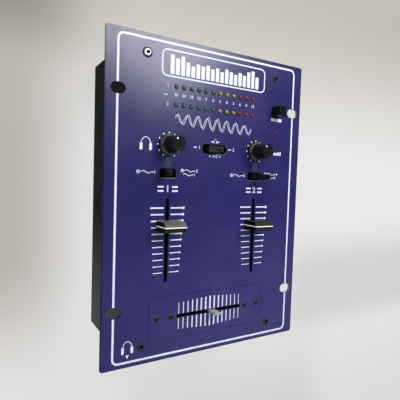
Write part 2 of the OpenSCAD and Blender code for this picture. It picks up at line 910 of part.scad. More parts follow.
// Side outline of a fader cap, along Y and up
module cap_outline() {
    half = cap_l / 2;
    ridge = cap_ridge_w / 2;
    polygon([
        [-half, 0], [half, 0], [half, cap_h - cap_slope_h], [ridge, cap_h],
        [-ridge, cap_h], [-half, cap_h - cap_slope_h],
    ]);
}

module fader_cap(x, rest) {
    color([0.08, 0.08, 0.08]) translate([x, fader_y + rest, face_z + cap_lift]) difference() {
        rotate([90, 0, 90]) translate([0, 0, -cap_w / 2]) linear_extrude(cap_w) cap_outline();
        cap_line();
        translate([0, 0, -cut]) {
            block(lever_t + 2 * cap_pocket_gap, lever_w + 2 * cap_pocket_gap, lever_in_cap + cap_pocket_gap + cut);
        }
    }
}

// White line over the ridge and down both ends of a fader cap
module cap_line() {
    difference() {
        block(cap_w, cap_line_w, cap_h);
        translate([0, 0, -cut]) block(cap_w - 2 * cap_line_d, cap_line_w + cut, cap_h - cap_line_d + cut);
    }
}

module fader_cap_line(x, rest) {
    color([0.95, 0.93, 0.85]) translate([x, fader_y + rest, face_z + cap_lift]) cap_line();
}

module fader_lever_1() { channel_lever(-channel_x, fader_rest_1); }
module fader_lever_2() { channel_lever(channel_x, fader_rest_2); }
module fader_cap_1() { fader_cap(-channel_x, fader_rest_1); }
module fader_cap_2() { fader_cap(channel_x, fader_rest_2); }
module fader_cap_line_1() { fader_cap_line(-channel_x, fader_rest_1); }
module fader_cap_line_2() { fader_cap_line(channel_x, fader_rest_2); }

// Knobs and potentiometers

module potentiometers() {
    bush_h = face_z + bush_top - board_z - pot_h;
    color([0.55, 0.55, 0.5]) {
        for (s = [-1, 1]) {
            translate([s * channel_x, knob_y, board_z]) difference() {
                union() {
                    block(pot_w, pot_w, pot_h);
                    translate([0, 0, pot_h]) cylinder(r = bush_r, h = bush_h);
                }
                translate([0, 0, pot_h - shaft_in_pot]) {
                    cylinder(r = shaft_r + shaft_gap, h = shaft_in_pot + bush_h + cut);
                }
            }
        }
    }
}

module potentiometer_nuts() {
    color([0.7, 0.7, 0.68]) {
        for (s = [-1, 1]) {
            translate([s * channel_x, knob_y, face_z]) difference() {
                cylinder(r = nut_r, h = nut_h, $fn = 6);
                translate([0, 0, -cut]) cylinder(r = bush_r + jack_thread_gap, h = nut_h + 2 * cut);
            }
        }
    }
}

module pot_shaft(x) {
    z0 = board_z + pot_h - shaft_in_pot + 0.4;
    color([0.7, 0.7, 0.68]) translate([x, knob_y, z0]) cylinder(r = shaft_r, h = face_z + shaft_top - z0);
}

module knob(x, dot_angle) {
    color([0.07, 0.07, 0.07]) translate([x, knob_y, face_z]) difference() {
        rotate_extrude() polygon([
            [0, knob_pocket_top], [knob_pocket_r, knob_pocket_top], [knob_pocket_r, knob_lift],
            [skirt_r, knob_lift], [skirt_r, knob_lift + skirt_edge_h], [grip_root_r, skirt_top],
            [grip_top_r, knob_h - knob_edge], [grip_top_r - knob_edge, knob_h], [0, knob_h],
        ]);
        cylinder(r = shaft_r + knob_bore_gap, h = shaft_top + knob_bore_gap);
        rotate(dot_angle) translate([dot_ring_r, 0, knob_h - dot_d]) cylinder(r = dot_r, h = dot_d + cut, $fn = 24);
    }
}

module knob_dot(x, dot_angle) {
    color("white") translate([x, knob_y, face_z]) rotate(dot_angle) {
        translate([dot_ring_r, 0, knob_h - dot_d]) cylinder(r = dot_r, h = dot_d, $fn = 24);
    }
}

module phones_shaft() { pot_shaft(-channel_x); }
module master_shaft() { pot_shaft(channel_x); }
module phones_knob() { knob(-channel_x, phones_dot_angle); }
module master_knob() { knob(channel_x, master_dot_angle); }
module phones_knob_dot() { knob_dot(-channel_x, phones_dot_angle); }
module master_knob_dot() { knob_dot(channel_x, master_dot_angle); }

// Source switches

// Switch housing from the main board to the panel, with an open well
module switch_housing(well_w, well_l, well_z) {
    difference() {
        translate([0, 0, board_z]) {
            block(well_w + 2 * switch_wall, well_l + 2 * switch_wall, panel_z - board_z);
        }
        translate([0, 0, well_z]) block(well_w, well_l, panel_z - well_z + cut);
    }
}

source_well_w = source_slot_l + 2 * switch_clear;
source_well_l = source_slot_w + 2 * switch_clear;

module source_switches() {
    color([0.06, 0.06, 0.06]) {
        for (s = [-1, 1]) {
            translate([s * channel_x, source_y, 0]) difference() {
                switch_housing(source_well_w, source_well_l, source_well_z);
                translate([0, source_well_l / 2 + switch_wall + cut, source_pivot_z]) rotate([90, 0, 0]) {
                    cylinder(r = source_pin_r + source_pin_gap, h = source_well_l + 2 * switch_wall + 2 * cut);
                }
            }
        }
    }
}

// Lever with its pivot along Y at the origin, pointing up
module source_paddle() {
    barrel_l = source_well_l - 2 * source_barrel_gap;
    pin_l = source_well_l + 2 * switch_wall - 0.4;
    tip_z = source_lever_l;
    rotate([90, 0, 0]) {
        translate([0, 0, -barrel_l / 2]) cylinder(r = source_barrel_r, h = barrel_l);
        translate([0, 0, -pin_l / 2]) cylinder(r = source_pin_r, h = pin_l);
    }
    intersection() {
        rotate([90, 0, 0]) translate([0, 0, -source_root_d]) linear_extrude(2 * source_root_d) {
            polygon([
                [-source_root_w / 2, 0], [source_root_w / 2, 0], [source_tip_w / 2, tip_z - 1],
                [source_tip_w / 2 - 1, tip_z], [1 - source_tip_w / 2, tip_z], [-source_tip_w / 2, tip_z - 1],
            ]);
        }
        rotate([90, 0, 90]) translate([0, 0, -source_root_w]) linear_extrude(2 * source_root_w) {
            polygon([
                [-source_root_d / 2, 0], [source_root_d / 2, 0], [source_tip_d / 2, tip_z - 1],
                [source_tip_d / 2 - 1, tip_z], [1 - source_tip_d / 2, tip_z], [-source_tip_d / 2, tip_z - 1],
            ]);
        }
    }
}

module source_lever(x, lean) {
    color([0.07, 0.07, 0.07]) translate([x, source_y, source_pivot_z]) rotate([0, lean, 0]) source_paddle();
}

module source_lever_1() { source_lever(-channel_x, -source_lean); }
module source_lever_2() { source_lever(channel_x, source_lean); }

// Cue switch

module cue_switch() {
    stem_slot_l = cue_stem_w + 2 * (cue_travel + cue_stem_gap);
    color([0.06, 0.06, 0.06]) translate([0, cue_y, 0]) difference() {
        switch_housing(cue_slot_l + 2 * switch_clear, cue_slot_w + 2 * switch_clear, cue_well_z);
        translate([0, 0, cue_well_z - cue_stem_h - 2 * cue_stem_gap]) {
            block(stem_slot_l, cue_stem_d + 2 * cue_stem_gap, cue_stem_h + 2);
        }
    }
}

module cue_slider() {
    base_z = cue_well_z + cue_stem_gap;
    top_h = face_z + cue_slider_h - base_z;
    color([0.16, 0.16, 0.15]) translate([0, cue_y, base_z]) {
        plate(cue_slider_l, cue_slider_w, top_h, 1.2);
        translate([0, 0, -cue_stem_h]) block(cue_stem_w, cue_stem_d, cue_stem_h);
        for (i = [-2:2]) {
            translate([i * cue_rib_pitch, 0, top_h]) block(cue_rib_w, cue_slider_w - 2, cue_rib_h);
        }
    }
}

// Power switch

module power_switch() {
    w = button_w + 2 * button_gap;
    l = button_l + 2 * button_gap;
    color([0.06, 0.06, 0.06]) translate([power_x, power_y, 0]) difference() {
        switch_housing(w, l, board_z + power_base_h);
        translate([0, 0, board_z - cut]) {
            block(plunger_w + 2 * plunger_gap, plunger_w + 2 * plunger_gap, power_base_h + 2 * cut);
        }
    }
}

module power_button() {
    color([0.05, 0.05, 0.05]) translate([power_x, power_y, 0]) {
        translate([0, 0, button_foot_z]) {
            plate(button_w, button_l, face_z + button_h - button_foot_z, button_corner_r);
        }
        translate([0, 0, plunger_z]) block(plunger_w, plunger_w, button_foot_z - plunger_z);
    }
}

// Level meter

// Round-topped diode standing on its flange
module led() {
    cylinder(r = led_r + led_flange, h = led_flange_h);
    cylinder(r = led_r, h = led_h - led_r);
    translate([0, 0, led_h - led_r]) sphere(led_r);
}

module meter_leds(first, count) {
    for (i = [first:first + count - 1], y = [led_row_1_y, led_row_2_y]) {
        translate([led_x(i), y, led_base_z]) led();
    }
}

module leds_green() {
    color([0.1, 0.35, 0.2]) meter_leds(0, led_green);
}

module leds_yellow() {
    color([0.55, 0.5, 0.15]) meter_leds(led_green, led_yellow);
}

module leds_red() {
    color([0.5, 0.1, 0.1]) {
        meter_leds(led_green + led_yellow, led_count - led_green - led_yellow);
        translate([power_led_x, power_led_y, led_base_z]) led();
    }
}

module led_board() {
    l = led_row_1_y - led_row_2_y + 2 * led_board_margin;
    color([0.1, 0.3, 0.15]) difference() {
        translate([0, led_mid_y, led_base_z - board_t]) block(led_board_w, l, board_t);
        for (p = led_spacer_xy) {
            translate([p[0], p[1], led_base_z - board_t - cut]) {
                cylinder(r = small_screw_r + screw_gap, h = board_t + 2 * cut);
            }
        }
    }
}

// Boards

module main_board() {
    board_l = board_rear_y - board_front_y;
    color([0.1, 0.3, 0.15]) difference() {
        union() {
            translate([-board_w / 2, board_front_y, board_z - board_t]) cube([board_w, board_l, board_t]);
            translate([board_tab_x, board_rear_y - 1, board_z - board_t]) {
                cube([board_w / 2 - board_tab_x, board_tab_y - board_rear_y + 1, board_t]);
            }
        }
        for (p = spacer_xy) {
            translate([p[0], p[1], board_z - board_t - cut]) {
                cylinder(r = small_screw_r + screw_gap, h = board_t + 2 * cut);
            }
        }
    }
}

// Hexagonal spacer hanging from the panel
module spacer(h) {
    translate([0, 0, panel_z - h]) difference() {
        cylinder(r = spacer_r, h = h, $fn = 6);
        translate([0, 0, -cut]) cylinder(r = small_screw_r + screw_gap, h = min(h - 1, screw_l) + cut);
    }
}

// The panel's spacers, and the sleeve that lifts the power diode off its board
module board_spacers() {
    color([0.75, 0.72, 0.6]) {
        for (p = spacer_xy) {
            translate([p[0], p[1], 0]) spacer(board_gap);
        }
        for (p = led_spacer_xy) {
            translate([p[0], p[1], 0]) spacer(panel_z - led_base_z);
        }
        translate([power_led_x, power_led_y, board_z]) cylinder(r = led_r + led_flange, h = led_base_z - board_z);
    }
}

module board_screws() {
    color([0.7, 0.7, 0.68]) {
        for (p = spacer_xy) {
            translate([p[0], p[1], board_z - board_t]) rotate([180, 0, 0]) {
                screw(small_head_r, 1.4, small_screw_r, board_t + screw_l - 1);
            }
        }
        for (p = led_spacer_xy) {
            translate([p[0], p[1], led_base_z - board_t]) rotate([180, 0, 0]) {
                screw(small_head_r, 1.4, small_screw_r, board_t + 3);
            }
        }
    }
}

module board_chips() {
    color([0.08, 0.08, 0.08]) {
        for (x = chip_xs, y = chip_ys) {
            translate([x, y, board_z]) block(chip_size[0], chip_size[1], chip_size[2]);
        }
    }
}

module board_capacitors() {
    color([0.1, 0.12, 0.3]) {
        for (x = board_cap_xs, y = board_cap_ys) {
            translate([x, y, board_z]) cylinder(r = board_cap_r, h = board_cap_h);
        }
    }
}

// Rear connectors

// Places its child at every phono socket
module sockets() {
    for (x = rca_blocks_x, s = [-1, 1], row = [-1, 1]) {
        translate([x + s * rca_pitch_x / 2, 0, rear_z + row * rca_pitch_z / 2]) children();
    }
}

module io_board() {
    color([0.1, 0.3, 0.15]) translate([io_x0, io_y - board_t, rear_z - io_h / 2]) cube([io_x1 - io_x0, board_t, io_h]);
}

module rca_blocks() {
    color([0.07, 0.07, 0.07]) {
        for (x = rca_blocks_x) {
            translate([x - rca_block_w / 2, io_y, rear_z - rca_block_h / 2]) {
                cube([rca_block_w, rca_block_d, rca_block_h]);
            }
        }
    }
}

module rca_sleeves() {
    color([0.75, 0.75, 0.7]) sockets() translate([0, rear_y, 0]) rotate([-90, 0, 0]) difference() {
        union() {
            cylinder(r = rca_ring_r, h = rca_ring_h);
            cylinder(r = rca_r, h = rca_l);
        }
        translate([0, 0, -cut]) cylinder(r = rca_r - rca_wall, h = rca_l + 2 * cut);
    }
}

module rca_inserts() {
    color("white") sockets() {
        translate([0, inner_y, 0]) rotate([-90, 0, 0]) difference() {
            cylinder(r = rca_r - rca_wall - rca_insert_gap, h = sheet_t + rca_l - rca_insert_short);
            translate([0, 0, cut]) cylinder(r = rca_core_r, h = sheet_t + rca_l);
        }
    }
}

// Earth terminal with its knurled nut
module ground_post() {
    color([0.75, 0.75, 0.7]) translate([ground_x, rear_y, rear_z]) rotate([-90, 0, 0]) {
        translate([0, 0, -sheet_t - ground_back_h]) {
            cylinder(r = ground_r, h = ground_back_h + sheet_t + ground_l);
            cylinder(r = ground_nut_r, h = ground_back_h, $fn = 6);
        }
        cylinder(r = ground_nut_r, h = ground_nut_h, $fn = 6);
        translate([0, 0, ground_knob_lift]) cylinder(r = ground_knob_r, h = ground_knob_h);
    }
}

module mains_inlet() {
    flange_r = 3;
    body_d = inlet_d + inlet_back;
    w = inlet_w + 2 * inlet_wall;
    h = inlet_h + 2 * inlet_wall;
    color([0.05, 0.05, 0.05]) translate([inlet_x, rear_y, rear_z]) rotate([-90, 0, 0]) difference() {
        union() {
            plate(inlet_flange_w, inlet_flange_h, inlet_flange_t, flange_r);
            translate([0, 0, inlet_flange_t - body_d]) block(w, h, body_d);
        }
        translate([0, 0, inlet_flange_t - inlet_d]) block(inlet_w, inlet_h, inlet_d + cut);
        for (s = [-1, 1]) {
            translate([s * inlet_screw_x, 0, -cut]) cylinder(r = small_screw_r + screw_gap, h = inlet_flange_t + 2 * cut);
        }
    }
}

module inlet_pins() {
    pin_l = inlet_d - inlet_pin_back;
    color([0.8, 0.78, 0.7]) translate([inlet_x, rear_y + inlet_flange_t - inlet_d, rear_z]) {
        for (p = [[-inlet_pin_x, -inlet_pin_z], [inlet_pin_x, -inlet_pin_z], [0, inlet_pin_z]]) {
            translate([p[0] - inlet_pin_t / 2, 0, p[1] - inlet_pin_w / 2]) cube([inlet_pin_t, pin_l, inlet_pin_w]);
        }
    }
}

// Headphone socket

module headphone_jack() {
    body_l = jack_bore_l + 2 - sheet_t - jack_bush_l;
    color([0.1, 0.1, 0.1]) translate([-jack_x, -chassis_l / 2 - jack_bush_l, jack_z]) difference() {
        union() {
            rotate([-90, 0, 0]) cylinder(r = jack_bush_r, h = jack_bush_l + sheet_t);
            translate([-jack_body_w / 2, jack_bush_l + sheet_t, -jack_body_h / 2]) {
                cube([jack_body_w, body_l, jack_body_h]);
            }
        }
        translate([0, -cut, 0]) rotate([-90, 0, 0]) cylinder(r = jack_bore_r, h = jack_bore_l + cut);
    }
}

module headphone_nut() {
    color([0.75, 0.75, 0.72]) translate([-jack_x, -chassis_l / 2, jack_z]) rotate([90, 0, 0]) difference() {
        union() {
            cylinder(r = jack_nut_r + 0.6, h = 0.5);
            cylinder(r = jack_nut_r, h = jack_nut_h, $fn = 6);
        }
        translate([0, 0, -cut]) cylinder(r = jack_bush_r + jack_thread_gap, h = jack_nut_h + 2 * cut);
    }
}

// Power supply

strap_w = core_w + 2 * (strap_t + strap_foot);
coil_z = floor_z + (core_h - coil_h) / 2;
supply_top = floor_z + supply_lift + board_t;

module strap_screws() {
    for (s = [-1, 1]) {
        translate([core_x + s * (core_w / 2 + strap_t + strap_foot / 2), core_y, 0]) children();
    }
}

module supply_screws() {
    translate([supply_x, supply_y, 0]) corners(supply_w / 2 - supply_inset, supply_l / 2 - supply_inset) children();
}

// Stack of laminations with a window on each side of its middle leg
module transformer_core() {
    window_w = (coil_w - core_leg) / 2;
    color([0.35, 0.33, 0.3]) translate([core_x, core_y, 0]) difference() {
        translate([0, 0, floor_z]) block(core_w, core_d, core_h);
        for (s = [-1, 1]) {
            translate([s * (core_leg + window_w) / 2, 0, coil_z]) block(window_w, core_d + 2 * cut, coil_h);
        }
    }
}

// Winding round the core's middle leg
module transformer_coil() {
    color([0.6, 0.35, 0.15]) translate([core_x, core_y, coil_z]) difference() {
        block(coil_w, coil_d, coil_h);
        translate([0, 0, -cut]) block(core_leg, core_d, coil_h + 2 * cut);
    }
}

// Steel strap over the core, screwed to the floor
module transformer_strap() {
    color([0.65, 0.65, 0.6]) translate([core_x, core_y, floor_z]) difference() {
        union() {
            block(core_w + 2 * strap_t, strap_l, core_h + strap_t);
            block(strap_w, strap_l, strap_t);
        }
        translate([0, 0, -cut]) block(core_w, strap_l + 2 * cut, core_h + cut);
        for (s = [-1, 1]) {
            translate([s * (core_w / 2 + strap_t + strap_foot / 2), 0, -cut]) {
                cylinder(r = small_screw_r + screw_gap, h = strap_t + 2 * cut);
            }
        }
    }
}

// Supply board on its four spacers
module supply_board() {
    color([0.15, 0.3, 0.15]) {
        translate([supply_x, supply_y, floor_z + supply_lift]) block(supply_w, supply_l, board_t);
        supply_screws() translate([0, 0, floor_z]) difference() {
            cylinder(r = spacer_r, h = supply_lift, $fn = 6);
            translate([0, 0, -cut]) cylinder(r = small_screw_r + screw_gap, h = supply_lift / 2 + 2 * cut);
        }
    }
}

module supply_capacitors() {
    color([0.1, 0.12, 0.3]) {
        for (s = [-1, 1]) {
            translate([supply_x + supply_cap_x + s * supply_cap_pitch / 2, supply_y, supply_top]) {
                cylinder(r = supply_cap_r, h = supply_cap_h);
            }
        }
    }
}

// Back plate with upright fins
module heat_sink() {
    color([0.7, 0.7, 0.72]) translate([supply_x + sink_x, supply_y - sink_depth / 2, supply_top]) {
        block(sink_w, sink_back, sink_h);
        for (i = [-3:3]) {
            translate([i * sink_fin_pitch, sink_back / 2 + sink_fin_l / 2, 0]) block(sink_fin_t, sink_fin_l, sink_h);
        }
    }
}

// Flat cable with its two plugs, from under the main board to the connector board
module ribbon_cable() {
    start_z = board_z - board_t - plug_h;
    turn_r = start_z - ribbon_z;
    end_y = io_y - board_t - plug_h;
    color([0.55, 0.55, 0.58]) translate([ribbon_x, 0, 0]) {
        translate([0, ribbon_y, start_z]) block(plug_w, plug_t, plug_h);
        translate([0, end_y + plug_h / 2, ribbon_z - plug_t / 2]) block(plug_w, plug_h, plug_t);
        translate([0, (ribbon_y + turn_r + end_y) / 2, ribbon_z - ribbon_t / 2]) {
            block(ribbon_w, end_y - ribbon_y - turn_r, ribbon_t);
        }
        translate([0, ribbon_y + turn_r, start_z]) rotate([0, 90, 0]) translate([0, 0, -ribbon_w / 2]) {
            intersection() {
                difference() {
                    cylinder(r = turn_r + ribbon_t / 2, h = ribbon_w);
                    translate([0, 0, -cut]) cylinder(r = turn_r - ribbon_t / 2, h = ribbon_w + 2 * cut);
                }
                translate([0, -2 * turn_r, -cut]) cube([2 * turn_r, 2 * turn_r, ribbon_w + 2 * cut]);
            }
        }
    }
}

face_panel();
panel_print();
chassis_wrap();
front_wall();
rear_wall();
rubber_feet();
chassis_screws();
panel_screws();
crossfader_plate();
crossfader_brackets();
crossfader_screws();
crossfader_body();
crossfader_lever();
channel_fader_bodies();
fader_lever_1();
fader_lever_2();
fader_cap_1();
fader_cap_2();
fader_cap_line_1();
fader_cap_line_2();
potentiometers();
potentiometer_nuts();
phones_shaft();
master_shaft();
phones_knob();
master_knob();
phones_knob_dot();
master_knob_dot();
source_switches();
source_lever_1();
source_lever_2();
cue_switch();
cue_slider();
power_switch();
power_button();
leds_green();
leds_yellow();
leds_red();
led_board();
main_board();
board_spacers();
board_screws();
board_chips();
board_capacitors();
ribbon_cable();
io_board();
rca_blocks();
rca_sleeves();
rca_inserts();
ground_post();
headphone_jack();
headphone_nut();
mains_inlet();
inlet_pins();
transformer_core();
transformer_coil();
transformer_strap();
supply_board();
supply_capacitors();
heat_sink();
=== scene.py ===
# %% [markdown]
# # A two-channel mixer, dressed for a picture
# The mixer lies on its rubber feet with its blue face up. X runs across the
# face, Y from its front edge to its rear edge, and Z up out of it. The solids
# come from a construction model in metres, and this lesson gives them their
# finishes and replaces the moulded parts by rounder ones. Nothing is moved:
# every new piece is worked out in the same frame as the solids.

import json

import bmesh
import bpy
import numpy as np
from mathutils import Matrix, Vector


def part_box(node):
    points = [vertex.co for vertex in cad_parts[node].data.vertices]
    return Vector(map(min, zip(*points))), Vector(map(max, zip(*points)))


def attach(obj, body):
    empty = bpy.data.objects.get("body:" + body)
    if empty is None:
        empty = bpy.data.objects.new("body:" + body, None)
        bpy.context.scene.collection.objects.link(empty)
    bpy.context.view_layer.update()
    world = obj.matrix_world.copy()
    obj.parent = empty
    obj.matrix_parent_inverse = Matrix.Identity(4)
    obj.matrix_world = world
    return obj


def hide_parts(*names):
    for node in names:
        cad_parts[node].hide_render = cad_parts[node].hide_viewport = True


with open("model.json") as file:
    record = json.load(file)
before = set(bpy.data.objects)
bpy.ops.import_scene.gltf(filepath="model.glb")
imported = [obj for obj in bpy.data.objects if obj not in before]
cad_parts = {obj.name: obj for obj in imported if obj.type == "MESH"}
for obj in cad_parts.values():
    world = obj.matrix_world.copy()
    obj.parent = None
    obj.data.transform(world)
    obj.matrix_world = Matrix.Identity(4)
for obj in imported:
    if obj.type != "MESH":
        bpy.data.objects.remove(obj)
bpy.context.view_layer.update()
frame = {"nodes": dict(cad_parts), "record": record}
nodes = frame["nodes"]
MM = 0.001

# %% [markdown]
# ## Places that several pieces share
# A new piece only fits if it is measured from the solids themselves, so the
# face's height and each part's box are read from them. The few places that no
# box tells, such as where a number goes, are written here, in millimetres.

# %% Read boxes and name the shared places


def box_of(node):
    """A solid's low and high corners in millimetres, as arrays."""
    return [np.array(corner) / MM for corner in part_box(node)]


panel_half_w, panel_half_l, face_z = box_of("face_panel")[1]
channel_x = 57.5
knob_y = 60.5
source_y = 30.7
cue_y = 59.4
crossfader_y = -125.2
led_rows = np.array([121.7, 102.7])
led_pitch = 9.2
power_led = (89.0, 84.6)
power_label_x = 88.3
ink_t = 0.12
print("face height:", round(face_z, 2), "mm")

# %% [markdown]
# ## Surfaces from arrays
# A moulded or turned part is a smooth function of two parameters, so it can be
# worked out as a whole grid of points at once. The first helpers number the
# faces of a grid, close a strip at its ends, and join several surfaces.

# %% Grid faces and joined surfaces


def grid_faces(rows, cols, wrap_rows=False, wrap_cols=False):
    """Faces of a grid numbered row by row: a point, the next in its row, and the two after."""
    i, j = np.indices((rows if wrap_rows else rows - 1, cols if wrap_cols else cols - 1))
    i2, j2 = (i + 1) % rows, (j + 1) % cols
    corners = [i * cols + j, i * cols + j2, i2 * cols + j2, i2 * cols + j]
    return np.stack(corners, -1).reshape(-1, 4).tolist()


def tube(rows, closed=False):
    """The skin over n rows of four points, with both ends capped unless the path is closed."""
    n = len(rows)
    ends = [] if closed else [[0, 1, 2, 3], [4 * n - 1, 4 * n - 2, 4 * n - 3, 4 * n - 4]]
    return rows.reshape(-1, 3), grid_faces(n, 4, wrap_rows=closed, wrap_cols=True) + ends


def joined(parts):
    """Puts several (points, faces) pairs into one, and numbers each pair's faces on."""
    starts = np.cumsum([0] + [len(points) for points, faces in parts]).tolist()
    faces = [[v + start for v in face] for start, part in zip(starts, parts) for face in part[1]]
    return np.concatenate([points for points, faces in parts]), faces


print("faces in a grid of 4 by 3 points:", len(grid_faces(4, 3)))

# %% [markdown]
# ### From arrays to pieces
# Points that fall together at seams and poles become one, faces are turned
# outwards, and edges stay sharp only where the surface really turns. Then the
# piece goes to the body that carries it.

# %% Mesh makers
merge_distance = 2e-6


def reworked(mesh, change):
    """Opens a mesh for editing, lets change work on it, and writes it back."""
    work = bmesh.new()
    work.from_mesh(mesh)
    change(work)
    work.to_mesh(mesh)
    work.free()


def smooth_by_angle(mesh, degrees):
    """Shades a mesh smooth, with an edge sharp where its faces turn by more than the angle."""

    def shade(work):
        for edge in work.edges:
            turn = edge.calc_face_angle(0)
            edge.smooth = len(edge.link_faces) == 2 and turn < np.radians(degrees)
        for face in work.faces:
            face.smooth = True

    reworked(mesh, shade)


def placed(name, data):
    """Makes an object from its data and puts it into the scene."""
    thing = bpy.data.objects.new(name, data)
    bpy.context.scene.collection.objects.link(thing)
    return thing


def rounded_edges(piece, width_mm, segments, degrees):
    """Adds a Bevel that rounds the edges turning by more than the angle."""
    bevel = piece.modifiers.new("Rounded edges", "BEVEL")
    bevel.width = width_mm * MM
    bevel.segments = segments
    bevel.limit_method = "ANGLE"
    bevel.angle_limit = np.radians(degrees)
    bevel.harden_normals = True


def hand_over(piece, body, replaces):
    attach(piece, body)
    if replaces:
        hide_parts(*replaces)
    print(piece.name, "faces:", len(piece.data.polygons))
    return piece


def make_piece(name, surface, finish, replaces=(), sharp=40, body="case"):
    """Makes a closed piece from (points in millimetres, faces) and hands it to its body."""
    points, faces = surface
    mesh = bpy.data.meshes.new(name)
    mesh.from_pydata((np.asarray(points) * MM).tolist(), [], faces)

    def close(work):
        bmesh.ops.remove_doubles(work, verts=work.verts, dist=merge_distance)
        bmesh.ops.recalc_face_normals(work, faces=work.faces)

    reworked(mesh, close)
    smooth_by_angle(mesh, sharp)
    mesh.materials.append(mats[finish])
    return hand_over(placed(name, mesh), body, replaces)


# %% [markdown]
# ## Turned and drawn profiles
# Knobs, lenses and screws are turned on a lathe, so a lathe is the first tool:
# a profile swept round an axis. Real tools leave no perfectly sharp corner, and
# a second helper rounds every corner of a profile before it is turned.

# %% Lathe and rounded corners
tiny = 1e-9


def eased(corners, reach, steps=4, closed=False):
    """Rounds corners: P becomes (1-t)^2 A + 2t(1-t) P + t^2 B, with A and B at reach from P."""
    p = np.asarray(corners, float)

    def towards(step):
        way = np.roll(p, step, 0) - p
        length = np.linalg.norm(way, axis=1, keepdims=True)
        return p + way / np.maximum(length, tiny) * np.minimum(reach, length / 2)

    a, b = towards(1), towards(-1)
    t = np.linspace(0, 1, steps)[None, :, None]
    curve = (1 - t) ** 2 * a[:, None] + 2 * t * (1 - t) * p[:, None] + t**2 * b[:, None]
    if closed:
        return curve.reshape(-1, p.shape[1])
    return np.concatenate([p[:1], curve[1:-1].reshape(-1, p.shape[1]), p[-1:]])


def lathe(profile, steps, place=(0, 0), wave=None):
    """Sweeps rows of (radius, height above the face) round an upright axis through place:
    x = r cos a, y = r sin a. wave(a, z) scales r."""
    r, z = np.asarray(profile, float).T[:, :, None]
    a = np.linspace(0, 2 * np.pi, steps, endpoint=False)[None, :]
    swept = r * (wave(a, z) if wave else np.ones_like(a))
    points = [swept * np.cos(a), swept * np.sin(a), np.broadcast_to(z, swept.shape)]
    points = np.stack(points, -1).reshape(-1, 3) + np.array([*place, face_z])
    return points, grid_faces(len(r), steps, wrap_cols=True)


print("a turned cylinder:", len(lathe([(1, 0), (1, 1)], 48)[1]), "faces")

# %% [markdown]
# ## How the finishes are mixed
# A real finish is never one flat colour. Paint drifts a little from patch to
# patch, plastic shows the grain of its mould, and fingers polish some places
# more than others. So one mixer makes most finishes: a soft noise drifts the
# colour, a fine noise swings the roughness and lifts the surface. All of them
# read Object coordinates, which are metres in the mixer's own frame.

# %% Colour helper and the finish mixer


def screen(r, g, b):
    """Turns a screen colour of 0 to 255 into the linear values that a shader takes."""
    c = np.array([r, g, b]) / 255
    linear = np.where(c <= 0.04045, c / 12.92, ((c + 0.055) / 1.055) ** 2.4)
    return [*linear.tolist(), 1.0]


def settle(node, **values):
    """Sets a node's inputs; an underscore in a name stands for a blank."""
    for name, value in values.items():
        node.inputs[name.replace("_", " ")].default_value = value


